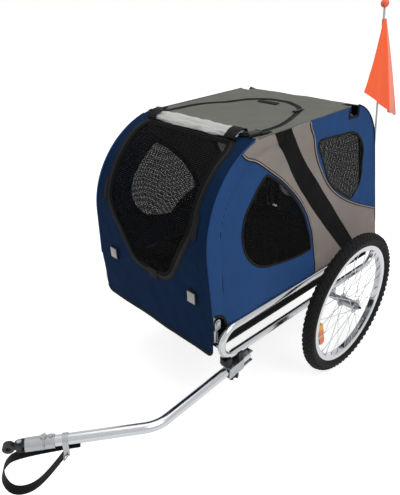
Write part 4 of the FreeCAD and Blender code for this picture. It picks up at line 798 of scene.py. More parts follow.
FRONT_SEAM = design([
    (455, 860), (430, 817), (386, 798), (332, 763), (266, 716), (204, 659), (156, 597), (126, 534),
    (110, 470), (102, 405), (98, 340)])
REAR_SEAM = design([
    (168, 900), (154, 848), (132, 812), (118, 766), (92, 715), (46, 657), (-20, 602), (-118, 548),
    (-262, 491), (-330, 470)])
FRONT_WINDOW = smooth_line(design([
    (127, 464), (176, 463), (245, 468), (311, 478), (358, 490), (392, 509), (420, 537), (438, 570),
    (445, 605), (442, 630), (431, 662), (408, 693), (375, 728), (343, 750), (322, 742), (295, 725),
    (260, 698), (226, 667), (196, 632), (167, 589), (146, 542), (132, 500)]), 4)
REAR_WINDOW = rounded(design([
    (118, 800), (-152, 788), (-154, 612), (-102, 566), (34, 648)]), (0.014, 0.090, 0.045, 0.014, 0.120))
STRIPE_AHEAD = design([(318, 875), (303, 837), (266, 787), (212, 707), (132, 606), (-33, 426), (-92, 360)])
STRIPE_BEHIND = design([(-168, 360), (-103, 437), (17, 579), (108, 681), (179, 764), (234, 842), (244, 875)])
STRIPE = smooth_line(STRIPE_AHEAD) + smooth_line(STRIPE_BEHIND)
DOOR = rounded([Vector(p) for p in (
    (-0.182, 0.842), (0.182, 0.842), (0.182, 0.640), (0.078, 0.455), (-0.078, 0.455), (-0.182, 0.640))],
    (0.025, 0.025, 0.070, 0.070, 0.070, 0.070))
REAR_DOOR = rounded([Vector(p) for p in (
    (-0.205, 0.770), (0.205, 0.770), (0.205, 0.400), (-0.205, 0.400))], 0.060)
FLAP = rounded([Vector((y, AXLE_X + x)) for y, x in (
    (-0.182, 0.352), (0.182, 0.352), (0.182, 0.215), (0.092, 0.0), (-0.092, 0.0), (-0.182, 0.215))],
    (0.020, 0.020, 0.250, 0.120, 0.120, 0.250), steps=12)

# Tapes, bindings, hems and tabs: width, place outside the cloth and rise of the middle; inset where they
# run round an outline
WINDOW_BINDING = {"inset": 0.0005, "width": 0.007, "out": 0.0004, "crown": 0.0009, "step": 0.006}
SEAM_TAPE = {"width": 0.0085, "out": 0.0005}
CORNER_BINDING = {"width": 0.008, "out": 0.0004, "crown": 0.0008}
NOTCH_BINDING = {"width": 0.009, "out": 0.0005, "crown": 0.001, "step": 0.004}
STRIP_STITCHING = {"width": 0.0022, "out": 0.0004, "thick": 0.0008}
FRONT_HEM = {"width": 0.010, "out": 0.0006}
FRONT_TAB = {"width": 0.015, "out": 0.0019, "crown": 0.0012}
DOOR_ZIP = {"inset": -0.0040, "width": 0.009, "out": 0.0005, "crown": 0.0008}
DOOR_PULL = {"width": 0.036, "out": 0.0026, "crown": 0.0012}
DOOR_BORDER = {"inset": 0.0085, "width": 0.015, "out": 0.0003, "crown": 0.0006}
ROOF_ZIP_TAPE = {"inset": 0.0044, "width": 0.008, "out": 0.0006, "crown": 0.0004}
ROOF_ZIP_EDGE = {"inset": -0.0042, "width": 0.0075, "out": 0.0006}
ROOF_TAB = {"width": 0.021, "out": 0.0022, "crown": 0.001}
REAR_HEM = {"width": 0.011, "out": 0.0006}
REAR_DOOR_ZIP = {"inset": -0.0055, "width": 0.011, "out": 0.0005, "crown": 0.0006}
REAR_DOOR_BORDER = {"inset": 0.0125, "width": 0.023, "out": 0.0003, "crown": 0.0006}
COVER_STRAP = {"width": 0.019, "out": 0.0035, "crown": 0.0016}
DOOR_TEETH = {"radius": 0.0013, "out": 0.0012}
ROOF_TEETH = {"radius": 0.0014, "out": 0.0014}
TEETH_INSET = 0.0018
TEETH_STEP = 0.006

# Sheets: the step of their grids, with thickness and place where they differ from canvas
SIDE_STEP = 0.0075
CANVAS_STEP = 0.0085
SIDE_STRIPE = {"step": 0.009, "thick": 0.0012, "out": 0.0007}
WINDOW_NET = {"step": 0.012, "thick": 0.0006, "out": -0.0012}
DOOR_NET = {"step": 0.012, "thick": 0.0008}
WINDOW_LAP = 0.004
NET_INSET = 0.003

# Piping along the seams and round the cabin's edges, and where it stops short of a corner
SEAM_PIPING_OUT = 0.0016
EDGE_PIPING_R = 0.0024
EDGE_PIPING_INSET = 0.0015
CROWN_STOP = 0.012
ROOF_STOP = 0.004
NOTCH_STOP = 0.002
STRIP_FOOT_STOP = 0.02
STRIP_TOP_STOP = 0.09
NOTCH_LAP = 0.003
NOTCH_RISE = 0.026
FOOT_CLEARANCE = 0.001


def even(low, high, count):
    """Numbers an even step apart, both ends among them."""
    return [low + (high - low) * n / count for n in range(count + 1)]


def side_outline():
    """The side's pattern: the cabin's outline above the rail."""
    return [cabin_at(run)[0] for run in even(front_run(CLOTH_FOOT_Z), rear_run(CLOTH_FOOT_Z), 150)]


def band_outline(low, high, halves):
    """A pattern across the cabin between two lengths of its outline."""
    right = [Vector((halves(run), run)) for run in even(low, high, 40)]
    return right + [Vector((-p.x, p.y)) for p in reversed(right)]


def full_half(run):
    """Half the width of the cloth between the sides."""
    return half_width(cabin_at(run)[0].y) - SIDE_INSET


SKIRT_DRAW = 0.006


def front_half(run):
    """Half the front's width: between the sides, and drawn in a little below the corner arch."""
    cut = front_run(CLOTH_FOOT_Z + CORNER_ARCH)
    return full_half(run) if run > cut else full_half(cut) - SKIRT_DRAW * (1 - run / cut)


def on_front(outline):
    """An outline of (across, height) as pattern points of the front."""
    return [Vector((p.x, front_run(p.y))) for p in outline]


def on_rear(outline):
    """An outline of (across, height) as pattern points of the rear."""
    return [Vector((p.x, rear_run(p.y))) for p in outline]


def on_roof(outline):
    """An outline of (across, x) as pattern points of the roof."""
    return [Vector((p.x, roof_run(p.y))) for p in outline]


def rectangle(low_x, low_y, high_x, high_y):
    """Four corners in order."""
    return [Vector(p) for p in ((low_x, low_y), (high_x, low_y), (high_x, high_y), (low_x, high_y))]


def both_edges(reach, low, high):
    """A region at each side of the cabin, from a place across it to well outside."""
    return [rectangle(reach, low, FAR_ASIDE, high), rectangle(-FAR_ASIDE, low, -reach, high)]


def tape(name, line, place, shape, finish="tape", body="chassis", slot=None, folds=True):
    """A tape, binding, hem or tab along a pattern line, or round an outline if it has an inset."""
    settings = dict(shape)
    closed = "inset" in settings
    if closed:
        line = inset(line, settings.pop("inset"))
    piece = ribbon(name, line, place=place, closed=closed, **settings)
    attach(piece, finish, body, slot=slot, folds=folds)


def zip_teeth(name, outline, shape, finish, body):
    """The row of teeth round a door or a flap."""
    line = inset(outline, TEETH_INSET)
    teeth = piping(name, line, place=on_band, closed=True, step=TEETH_STEP, **shape)
    attach(teeth, finish, body, folds=True)


def side_cloths(front_seam, rear_seam):
    """The three cloths of a side: name, region, finish, slot and holes."""
    foot = rear_seam[-1].y
    ahead = [Vector(p) for p in (
        (FAR_AHEAD, FAR_BELOW), (FAR_AHEAD, FAR_ABOVE), (front_seam[0].x, FAR_ABOVE))]
    behind = [Vector(p) for p in ((FAR_BEHIND, foot), (FAR_BEHIND, FAR_ABOVE), (rear_seam[0].x, FAR_ABOVE))]
    below = [Vector((FAR_BEHIND, FAR_BELOW)), Vector((FAR_BEHIND, foot))]
    notch = rectangle(NOTCH_REAR_X, NOTCH_FOOT_Z, NOTCH_FRONT_X, FAR_ABOVE)
    return (
        ("front", front_seam + ahead, "blue", "blue_cloth", [FRONT_WINDOW, corner_arch()]),
        ("band", front_seam + below + rear_seam[::-1], "band", "grey_cloth", []),
        ("rear", rear_seam + behind, "blue", "blue_cloth", [REAR_WINDOW, notch]),
    )


def make_sides(sizes):
    """Both side walls: blue ends, a grey band with a black stripe, netting windows, piping and bindings."""
    outline = side_outline()
    seams = {"front": smooth_line(FRONT_SEAM), "rear": smooth_line(REAR_SEAM)}
    windows = {"front": FRONT_WINDOW, "rear": REAR_WINDOW}
    for side, sign in SIDES:
        place = on_side(sign)
        for part, region, finish, slot, holes in side_cloths(seams["front"], seams["rear"]):
            piece = cloth(f"side_{part}_{side}", outline, place, region, holes, step=SIDE_STEP)
            nodes = [f"side_panel_{side}"] if part == "front" else []
            attach(piece, finish, "chassis", nodes, slot, folds=True)
        stripe = cloth(f"side_stripe_{side}", outline, place, STRIPE, **SIDE_STRIPE)
        attach(stripe, "black", "chassis", slot="black_cloth", folds=True)
        for part, window in windows.items():
            net = cloth(f"window_{part}_{side}", inset(window, -WINDOW_LAP), place, **WINDOW_NET)
            nodes = [f"side_windows_{side}"] if part == "front" else []
            attach(net, "net", "chassis", nodes, "window_mesh", folds=True)
            sew(window, [])
            tape(f"window_binding_{part}_{side}", window, place, WINDOW_BINDING)
        for part, seam in seams.items():
            inside = [p for p in seam if p.y > CLOTH_FOOT_Z + FOOT_CLEARANCE and within(p, outline)]
            tape(f"seam_tape_{part}_{side}", inside, place, SEAM_TAPE)
            trim = piping(f"seam_piping_{part}_{side}", inside, sizes.piping / 2, place, out=SEAM_PIPING_OUT)
            attach(trim, "piping", "chassis", folds=True)
        bound = [p for p in corner_arch() if within(p, outline)]
        tape(f"corner_binding_{side}", bound, place, CORNER_BINDING)
        tape(f"notch_binding_{side}", notch_edge(), place, NOTCH_BINDING)
        # The strip's stitching takes the front's colour, the sides' blue with painted shade
        tape(f"front_strip_stitching_{side}", strip_line(), place, STRIP_STITCHING, "blue_painted_shade")
        make_edge_piping(side, sign)


def notch_edge():
    """The line round the notch that bares the rear corner of the frame."""
    ahead, behind = NOTCH_FRONT_X + NOTCH_LAP, NOTCH_REAR_X - NOTCH_LAP
    foot, top = NOTCH_FOOT_Z - NOTCH_LAP, NOTCH_FOOT_Z + NOTCH_RISE
    return [Vector(p) for p in ((ahead, top), (ahead, foot), (behind, foot), (behind, top))]


def make_edge_piping(side, sign):
    """Piping where a side meets the front, the roof and the rear."""
    for part, finish, low, high in (
        ("front", "blue", front_run(CLOTH_FOOT_Z + CORNER_ARCH), RUN_CROWN - CROWN_STOP),
        ("roof", "roof", RUN_CROWN + ROOF_STOP, roof_run(NOTCH_FRONT_X)),
        ("rear", "tape", roof_run(NOTCH_REAR_X) + NOTCH_STOP, rear_run(CORNER_CUT_Z)),
    ):
        line = [cabin_at(run)[0] for run in even(low, high, 60)]
        points = [Vector((p.x, sign * (half_width(p.y) - EDGE_PIPING_INSET), p.y)) for p in line]
        attach(wire(f"edge_piping_{part}_{side}", points, EDGE_PIPING_R), finish, "chassis", folds=True)


def strip_line():
    """The line of stitches behind the strip at the side's front edge."""
    low = front_run(CLOTH_FOOT_Z + CORNER_ARCH + STRIP_FOOT_STOP)
    places = [cabin_at(run) for run in even(low, RUN_CROWN - STRIP_TOP_STOP, 50)]
    return [point - outward * STRIP for point, outward in places]


def corner_arch():
    """The round cut in the side's lower front corner that bares the hoop's hinge."""
    foot = cabin_at(front_run(CLOTH_FOOT_Z))[0]
    count = 48
    return [polar(foot, CORNER_ARCH, 2 * math.pi * n / count) for n in range(count)]


def within(point, outline):
    """Whether a point is inside a closed outline."""
    inside = False
    for a, b in zip(outline, outline[1:] + outline[:1]):
        if (a.y > point.y) != (b.y > point.y) and point.x < (b.x - a.x) * (point.y - a.y) / (b.y - a.y) + a.x:
            inside = not inside
    return inside


# The front's skirt, its tabs and the pull at the door's foot
HEM_ROUND = 0.022
HEM_SHARP = 0.0001
HEM_INSET = 0.004
HEM_STOP = 0.006
FRONT_TAB_Y = 0.192
FRONT_TAB_Z = (0.626, 0.690)
DOOR_PULL_Y = 0.010
DOOR_PULL_Z = (0.470, 0.436)


def make_front():
    """The navy front: its skirt, the panel round the netting door, the bindings and the pull tabs."""
    fold_run = front_run(CLOTH_FOOT_Z)
    outline = band_outline(fold_run, RUN_CROWN, front_half)
    door = on_front(DOOR)
    panel = cloth("front_upper", outline, on_band, None, [door], step=CANVAS_STEP)
    attach(panel, "blue_painted_shade", "chassis", ["front_panel"], "navy_cloth", folds=True)
    sew(outline, [door])
    half, foot_half = front_half(fold_run), front_half(0.0)
    corners = ((-foot_half, 0.0), (foot_half, 0.0), (half, fold_run), (-half, fold_run))
    hem = rounded([Vector(p) for p in corners], (HEM_ROUND, HEM_ROUND, HEM_SHARP, HEM_SHARP))
    skirt = cloth("front_skirt", hem, on_band, step=CANVAS_STEP)
    attach(skirt, "blue_painted_shade", "chassis", slot="navy_cloth")
    sew(hem, [])
    edge = [p for p in inset(hem, HEM_INSET) if p.y < fold_run - HEM_STOP]
    edge = sorted(edge, key=lambda p: math.atan2(p.x, fold_run - p.y))
    tape("front_hem", edge, on_band, FRONT_HEM, folds=False)
    for side, sign in SIDES:
        tab = [Vector((sign * FRONT_TAB_Y, front_run(z))) for z in FRONT_TAB_Z]
        tape(f"front_tab_{side}", tab, on_band, FRONT_TAB, "strap")
    tape("door_zip", door, on_band, DOOR_ZIP)
    pull = [Vector((DOOR_PULL_Y, front_run(z))) for z in DOOR_PULL_Z]
    tape("door_foot_tab", pull, on_band, DOOR_PULL, "strap")
    leaf = cloth("front_door_net", inset(door, NET_INSET), on_band, **DOOR_NET)
    attach(leaf, "net", "front_door", ["front_door"], "window_mesh", folds=True)
    sew(door, [])
    tape("front_door_border", door, on_band, DOOR_BORDER, "black", "front_door", "black_cloth")
    zip_teeth("front_door_zip_teeth", door, DOOR_TEETH, "plastic", "front_door")


# The roof flap's gap, its tab, and its zip slider as blocks with their bevels
FLAP_GAP = 0.0004
ROOF_TAB_Y = (-0.060, 0.016)
ROOF_TAB_X = AXLE_X + 0.037
SLIDER = ((0.011, 0.026, 0.005), 0.0015)
SLIDER_GRIP = ((0.007, 0.024, 0.0022), 0.0009)
SLIDER_GRIP_AT = (0.0, 0.024, 0.001)
SLIDER_Y = 0.121
SLIDER_X = AXLE_X + 0.083
SLIDER_OUT = 0.0045
SLIDER_TURN = math.radians(88)


def make_roof():
    """The grey roof with its flap, the zip round it, its slider and its tab."""
    outline = band_outline(RUN_CROWN, RUN_ROOF + ROOF_LAP, full_half)
    flap = on_roof(FLAP)
    notches = both_edges(NOTCH_SIDE_Y, roof_run(NOTCH_FRONT_X), rear_notch_end())
    panel = cloth("roof", outline, on_band, None, [flap, *notches], step=CANVAS_STEP)
    attach(panel, "roof", "chassis", ["roof_panel"], "grey_cloth", folds=True)
    sew(outline, [flap])
    leaf = cloth("roof_flap_cloth", inset(flap, FLAP_GAP), on_band, step=CANVAS_STEP)
    attach(leaf, "roof", "roof_flap", ["roof_flap"], "grey_cloth", folds=True)
    sew(flap, [])
    tape("roof_zip_tape", flap, on_band, ROOF_ZIP_TAPE, body="roof_flap")
    tape("roof_zip_edge", flap, on_band, ROOF_ZIP_EDGE)
    zip_teeth("roof_zip_teeth", flap, ROOF_TEETH, "tape", "roof_flap")
    tab = [Vector((y, roof_run(ROOF_TAB_X))) for y in ROOF_TAB_Y]
    tape("roof_tab", tab, on_band, ROOF_TAB, "strap", "roof_flap")
    slider = bevelled_block("roof_zip_slider", *SLIDER)
    grip = placed(bevelled_block("grip", *SLIDER_GRIP), Matrix.Translation(SLIDER_GRIP_AT))
    spot = on_band(SLIDER_Y, roof_run(SLIDER_X), SLIDER_OUT)
    turn = Matrix.Translation(spot) @ Matrix.Rotation(SLIDER_TURN, 4, "Z")
    slider = placed(joined("roof_zip_slider", [slider, grip]), turn)
    attach(slider, "plastic", "roof_flap", folds=True)


REAR_CUT_OVERRUN = 0.02


def make_rear():
    """The blue rear wall with its netting door and its skirt."""
    outline = band_outline(RUN_ROOF + ROOF_LAP, rear_run(CLOTH_FOOT_Z), full_half)
    door = on_rear(REAR_DOOR)
    corners = both_edges(REAR_CUT_Y, rear_run(CORNER_CUT_Z), RUN_END + REAR_CUT_OVERRUN)
    notches = both_edges(NOTCH_SIDE_Y, 0.0, rear_notch_end())
    panel = cloth("rear_wall", outline, on_band, None, [door, *corners, *notches], step=CANVAS_STEP)
    attach(panel, "blue", "chassis", ["rear_panel"], "blue_cloth", folds=True)
    sew(outline, [door])
    hem = rectangle(-REAR_CUT_Y, rear_run(CLOTH_FOOT_Z), REAR_CUT_Y, RUN_END)
    skirt = cloth("rear_skirt", hem, on_band, step=CANVAS_STEP)
    attach(skirt, "blue", "chassis", slot="blue_cloth")
    sew(hem, [])
    edge = [Vector((y, RUN_END - HEM_INSET)) for y in (-REAR_CUT_Y, REAR_CUT_Y)]
    tape("rear_hem", edge, on_band, REAR_HEM, folds=False)
    tape("rear_door_zip", door, on_band, REAR_DOOR_ZIP)
    leaf = cloth("rear_door_net", inset(door, NET_INSET), on_band, **DOOR_NET)
    attach(leaf, "net", "rear_door", ["rear_door"], "window_mesh", folds=True)
    sew(door, [])
    tape("rear_door_border", door, on_band, REAR_DOOR_BORDER, "black", "rear_door", "black_cloth")


# The linings of the rear wall's cut corners: their bend, and how far they reach from it and past the cut
LINING_Y = 0.230
LINING_GAP = 0.008
LINING_ACROSS = 0.050
LINING_ALONG = 0.085
LINING_BELOW = 0.012
LINING_ABOVE = 0.014


def in_corner(sign):
    """The place function of a rear corner's lining: along its bend from the rear wall to the side, and up."""
    def place(along, z, out):
        behind = REAR_FOOT[0] + (z - REAR_FOOT[1]) * math.tan(REAR_LEAN) + LINING_GAP
        if along < 0:
            return Vector((behind + out, sign * (LINING_Y + along), z))
        return Vector((behind + along, sign * (LINING_Y - out), z))
    return place


def rear_notch_end():
    """Where the notch at the rear corner ends along the outline."""
    run, step = RUN_ROOF, 0.001
    while run < RUN_REAR and cabin_at(run)[0].x > NOTCH_REAR_X and cabin_at(run)[0].y > NOTCH_FOOT_Z:
        run += step
    return run


# The rolled cover: half its length, width and height, its place by the roof's edge, and its folds
COVER_HALF = 0.165
COVER_WIDE = 0.0240
COVER_HIGH = 0.0082
COVER_LIFT = 0.0072
COVER_TAPER_SHARE = 0.2
COVER_AHEAD = 0.008
COVER_TURN = 0.03
COVER_CRUMPLE = 0.0026
COVER_CREASE = 0.0014
COVER_WIDE_SHARE = 1.6
COVER_FOLD = 0.0022
COVER_DENT = 0.006
ROLL_STRAP_Y = 0.156
ROLL_STRAP_WIDTH = 0.036
ROLL_STRAP_THICK = 0.0014
ROLL_STRAP_WIDE = 0.0246
ROLL_STRAP_HIGH = 0.0102
ROLL_STRAP_LIFT = 0.0077
ROLL_STRAP_BUNCH = 0.0024


def make_rolled_cover():
    """The rain cover rolled on the roof's front edge, its two straps and their buckles."""
    rings, sides = 44, 56
    roll = primitive("cylinder", "rain_cover_roll", vertices=sides, radius=1, depth=2, end_fill_type="TRIFAN")
    activate(roll)
    bpy.ops.object.mode_set(mode="EDIT")
    bpy.ops.mesh.select_all(action="DESELECT")
    shape = bmesh.from_edit_mesh(roll.data)
    long_edges = [e for e in shape.edges if abs(e.verts[0].co.z - e.verts[1].co.z) > 1]
    bmesh.ops.subdivide_edges(shape, edges=long_edges, cuts=rings, use_grid_fill=True)
    bmesh.update_edit_mesh(roll.data)
    bpy.ops.object.mode_set(mode="OBJECT")
    for vertex in roll.data.vertices:
        x, y, z = vertex.co
        angle, reach = math.atan2(y, x), math.hypot(x, y)
        share = 1 - COVER_TAPER_SHARE * abs(z) ** 4
        place = Vector((x * 2.2, y * 2.2, z * 6.0))
        crumple = COVER_CRUMPLE * noise.noise(place) + COVER_CREASE * noise.noise(place * 3.1)
        wide = reach * (COVER_WIDE * share + COVER_WIDE_SHARE * crumple)
        high = reach * (COVER_HIGH * share + crumple)
        groove = math.exp(-((math.cos(angle) - 0.25) / 0.16) ** 2) * max(0.0, math.sin(angle))
        lift = COVER_LIFT + high * math.sin(angle) - COVER_FOLD * groove * reach
        spot = over_edge(wide * math.cos(angle), lift)
        dent = COVER_DENT * (1 - reach) if abs(z) > 0.99 else 0.0
        vertex.co = (spot.x, z * (COVER_HALF - dent), spot.y)
    face_outward(roll)
    map_cloth(roll)
    attach(roll, "cover", "chassis", ["rolled_cover"], "silver_cloth", folds=True, degrees=50)
    for side, sign in SIDES:
        make_roll_strap(side, sign)
        make_buckle(side, sign)


def make_roll_strap(side, sign):
    """A bunched strap round the rolled cover."""
    count = 40
    band = primitive("grid", f"roll_strap_{side}", x_subdivisions=count, y_subdivisions=12, size=1)
    for vertex in band.data.vertices:
        angle = 2 * math.pi * (round((vertex.co.x + 0.5) * count) % count) / count
        ahead, up = math.cos(angle), math.sin(angle)
        aside = vertex.co.y * ROLL_STRAP_WIDTH
        bunch = ROLL_STRAP_BUNCH * noise.noise(Vector((1.6 * ahead, 1.6 * up, 150 * aside + 5 * sign)))
        point = over_edge((ROLL_STRAP_WIDE + bunch) * ahead, ROLL_STRAP_LIFT + (ROLL_STRAP_HIGH + bunch) * up)
        vertex.co = (point.x, sign * ROLL_STRAP_Y + aside, point.y)
    in_edit_mode(band, (bpy.ops.mesh.remove_doubles, {"threshold": MERGE}))
    modify(band, "SOLIDIFY", thickness=ROLL_STRAP_THICK, offset=0)
    face_outward(band)
    map_cloth(band)
    attach(band, "strap", "chassis", folds=True)


def over_edge(ahead, out):
    """A point of the side view by the roof's front edge: ahead of the cover's middle, outside the cloth."""
    run = RUN_CROWN - COVER_AHEAD - ahead
    point = cabin_at(run)[0]
    share = min(1.0, max(0.0, (run - RUN_CROWN) / COVER_TURN + 0.5))
    angle = CROWN_END + (ROOF_NORMAL - CROWN_END) * share * share * (3 - 2 * share)
    angle -= max(0.0, RUN_CROWN - run) / CROWN_R
    return polar(point, out, angle)


# A buckle of the cover as blocks with their bevels, its place and turn, and its strap's way from the roll:
# place across the roof, and place ahead of the buckle's middle
BUCKLE_BODY = ((0.036, 0.026, 0.009), 0.003)
BUCKLE_PRONG = ((0.014, 0.006, 0.010), 0.002)
BUCKLE_PRONG_X = 0.016
BUCKLE_PRONG_Y = 0.012
BUCKLE_BAR = ((0.006, 0.030, 0.011), 0.002)
BUCKLE_BAR_X = -0.017
BUCKLE_Y = 0.192
BUCKLE_OUT = 0.006
BUCKLE_TURN = math.radians(-14)
COVER_STRAP_START = (0.158, 0.002)
COVER_STRAP_WAY = ((0.178, 0.016), (BUCKLE_Y, 0.0), (0.203, -0.028), (0.207, -0.048))


def make_buckle(side, sign):
    """A side-release buckle on the roof beside the rolled cover, with its strap and loose end."""
    low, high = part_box("cover_buckles")
    middle_x = (low.x + high.x) / 2
    spot = on_band(sign * BUCKLE_Y, roof_run(middle_x), BUCKLE_OUT)
    body = bevelled_block("body", *BUCKLE_BODY)
    prong = bevelled_block("prong", *BUCKLE_PRONG)
    places = [Matrix.Translation((BUCKLE_PRONG_X, s * BUCKLE_PRONG_Y, 0.0)) for s in (1, -1)]
    prongs = copies("prongs", prong, places)
    bar = placed(bevelled_block("bar", *BUCKLE_BAR), Matrix.Translation((BUCKLE_BAR_X, 0, 0)))
    buckle = joined(f"cover_buckle_{side}", [body, prongs, bar])
    turn = Matrix.Rotation(ROOF_PITCH, 4, "Y") @ Matrix.Rotation(BUCKLE_TURN * sign, 4, "Z")
    placed(buckle, Matrix.Translation(spot) @ turn)
    nodes = ["cover_buckles"] if sign > 0 else []
    attach(buckle, "plastic", "chassis", nodes, "black_plastic", folds=True)
    start, behind = COVER_STRAP_START
    way = [Vector((sign * start, roof_run(ROOF_FRONT[0] - behind)))]
    way += [Vector((sign * y, roof_run(middle_x + ahead))) for y, ahead in COVER_STRAP_WAY]
    tape(f"cover_strap_{side}", smooth_line(way), on_band, COVER_STRAP, "strap")


# A front reflector: its width and height, its rim and its lens, and how much smaller the lens is
REFLECTOR_WIDTH = 0.034
REFLECTOR_HEIGHT = 0.040
RIM_THICK = 0.0046
RIM_BEVEL = 0.0014
LENS_THICK = 0.005
LENS_BEVEL = 0.0012
LENS_LESS = (0.006, 0.007)
LENS_OUT = 0.0012


def make_reflectors():
    """Two square front reflectors: a dark moulded rim with a clear prismatic lens."""
    low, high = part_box("front_reflectors")
    for side, sign in SIDES:
        y = sign * ((high.y - low.y) / 2 - REFLECTOR_WIDTH / 2)
        spot = Vector((low.x + (high.x - low.x) / 2, y, (low.z + high.z) / 2))
        turn = Matrix.Translation(spot) @ Matrix.Rotation(FRONT_LEAN, 4, "Y")
        size = (RIM_THICK, REFLECTOR_WIDTH, REFLECTOR_HEIGHT)
        rim = placed(bevelled_block(f"front_reflector_rim_{side}", size, RIM_BEVEL), turn)
        attach(rim, "plastic", "chassis", ["front_reflectors"] if sign > 0 else [], folds=True)
        size = (LENS_THICK, REFLECTOR_WIDTH - LENS_LESS[0], REFLECTOR_HEIGHT - LENS_LESS[1])
        lens = bevelled_block(f"front_reflector_lens_{side}", size, LENS_BEVEL)
        placed(lens, turn @ Matrix.Translation((LENS_OUT, 0, 0)))
        attach(lens, "lens", "chassis", slot="white_reflector", folds=True)


def make_linings():
    """Black linings that close the rear wall's cut corners behind the hoop's hinges."""
    outline = rectangle(
        -LINING_ACROSS, CLOTH_FOOT_Z - LINING_BELOW, LINING_ALONG, CORNER_CUT_Z + LINING_ABOVE)
    for side, sign in SIDES:
        lining = cloth(f"corner_lining_{side}", outline, in_corner(sign))
        attach(lining, "black", "chassis", slot="black_cloth", folds=True)
        sew(outline, [])


TUB_ROUND = 0.016
TUB_THICK = 0.0016
TUB_SLACK = 0.0025
TUB_FLOOR_LIFT = 0.0008
TUB_WALL_GAP = 0.0002
NEAR = 0.001


def make_tub():
    """The black cloth tub between the rails, open above, with round edges and slack walls and floor."""
    low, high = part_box("floor_tub")
    middle, size = (low + high) / 2, high - low
    tub = primitive("cube", "floor_tub_cloth", size=1)
    for vertex in tub.data.vertices:
        vertex.co = [m + c * s for m, c, s in zip(middle, vertex.co, size)]
    activate(tub)
    bpy.ops.object.mode_set(mode="EDIT")
    shape = bmesh.from_edit_mesh(tub.data)
    bmesh.ops.delete(shape, geom=[f for f in shape.faces if f.normal.z > 0.9], context="FACES")
    turned = [e for e in shape.edges if not e.is_boundary]
    bmesh.ops.bevel(shape, geom=turned, offset=TUB_ROUND, segments=4, affect="EDGES", profile=0.5)
    long_edges = [e for e in shape.edges if e.calc_length() > 0.2]
    bmesh.ops.subdivide_edges(shape, edges=long_edges, cuts=48, use_grid_fill=True)
    bmesh.update_edit_mesh(tub.data)
    bpy.ops.object.mode_set(mode="OBJECT")
    for vertex in tub.data.vertices:
        x, y, z = vertex.co
        slack = TUB_SLACK * noise.noise(Vector((x * 9, y * 9, z * 14)))
        if z < low.z + NEAR:
            vertex.co.z += TUB_FLOOR_LIFT + slack * 0.4
        elif abs(y) > high.y - NEAR:
            vertex.co.y -= math.copysign(abs(slack) * swell((z - low.z) / size.z) + TUB_WALL_GAP, y)
    face_outward(tub)
    modify(tub, "SOLIDIFY", thickness=TUB_THICK, offset=-1)
    attach(tub, "black", "chassis", ["floor_tub"], "black_cloth")


# A tyre: its casing's ring and round, its tread blocks, its bead lines, and the rows of blocks as
# (tilt over the casing, width, shift in pitches)
TYRE_RING = 0.2266
TYRE_CASING = 0.0196
TREAD_CROWN = 0.0217
TREAD_SINK = 0.0019
TREAD_PITCHES = 72
TREAD_SKEW = 0.35
BLOCK = (0.0125, 0.0085, 0.0042)
BLOCK_TOP_SHARE = 0.78
BLOCK_BEVEL = 0.0007
TREAD_ROWS = (
    (0.0, 0.0085, 0.0), (0.62, 0.0075, 0.5), (-0.62, 0.0075, 0.5), (1.12, 0.0065, 0.0), (-1.12, 0.0065, 0.0))
BEAD_RING = 0.2125
BEAD_R = 0.0022
BEAD_ASIDE = 0.0118


def tread_places():
    """Where each tread block stands on a tyre that lies flat at the origin."""
    places = []
    upright = Matrix.Rotation(math.pi / 2, 4, "Y") @ Matrix.Rotation(math.pi / 2, 4, "Z")
    for tilt, width, shift in TREAD_ROWS:
        for number in range(TREAD_PITCHES):
            angle = 2 * math.pi * (number + shift) / TREAD_PITCHES
            skew = Matrix.Identity(4)
            if tilt == 0:
                skew = Matrix.Rotation(TREAD_SKEW if number % 2 else -TREAD_SKEW, 4, "Z")
            places.append(
                Matrix.Rotation(angle, 4, "Z") @ Matrix.Translation((TYRE_RING, 0, 0))
                @ Matrix.Rotation(-tilt, 4, "Y") @ Matrix.Translation((TREAD_CROWN - TREAD_SINK, 0, 0))
                @ upright @ skew @ Matrix.Diagonal((1.0, width / BLOCK[1], 1.0, 1.0)))
    return places


def make_tyres():
    """Knobby tyres: a round casing with a moulded bead line and rows of tread blocks."""
    for side, sign in SIDES:
        casing = primitive("torus", "casing", major_radius=TYRE_RING, minor_radius=TYRE_CASING,
                           major_segments=120, minor_segments=28)
        block = primitive("cube", "block", size=1)
        for vertex in block.data.vertices:
            x, y, z = vertex.co
            top = BLOCK_TOP_SHARE if z > 0 else 1.0
            vertex.co = (x * BLOCK[0] * top, y * BLOCK[1] * top, z * BLOCK[2])
        in_edit_mode(block, (bpy.ops.mesh.bevel, {"offset": BLOCK_BEVEL, "segments": 1, "affect": "EDGES"}))
        tread = copies("tread", block, tread_places())
        beads = []
        for aside in (BEAD_ASIDE, -BEAD_ASIDE):
            bead = primitive("torus", "bead", major_radius=BEAD_RING, minor_radius=BEAD_R,
                             major_segments=96, minor_segments=8)
            beads.append(placed(bead, Matrix.Translation((0, 0, aside))))
        tyre = joined(f"tyre_tread_{side}", [casing, tread, *beads])
        spot = Vector((AXLE_X, sign * WHEEL_Y, WHEEL_Z))
        placed(tyre, Matrix.Translation(spot) @ Matrix.Rotation(math.pi / 2, 4, "X"))
        attach(tyre, "rubber", f"wheel_{side}", [f"tyre_{side}"], "tyre", degrees=30)


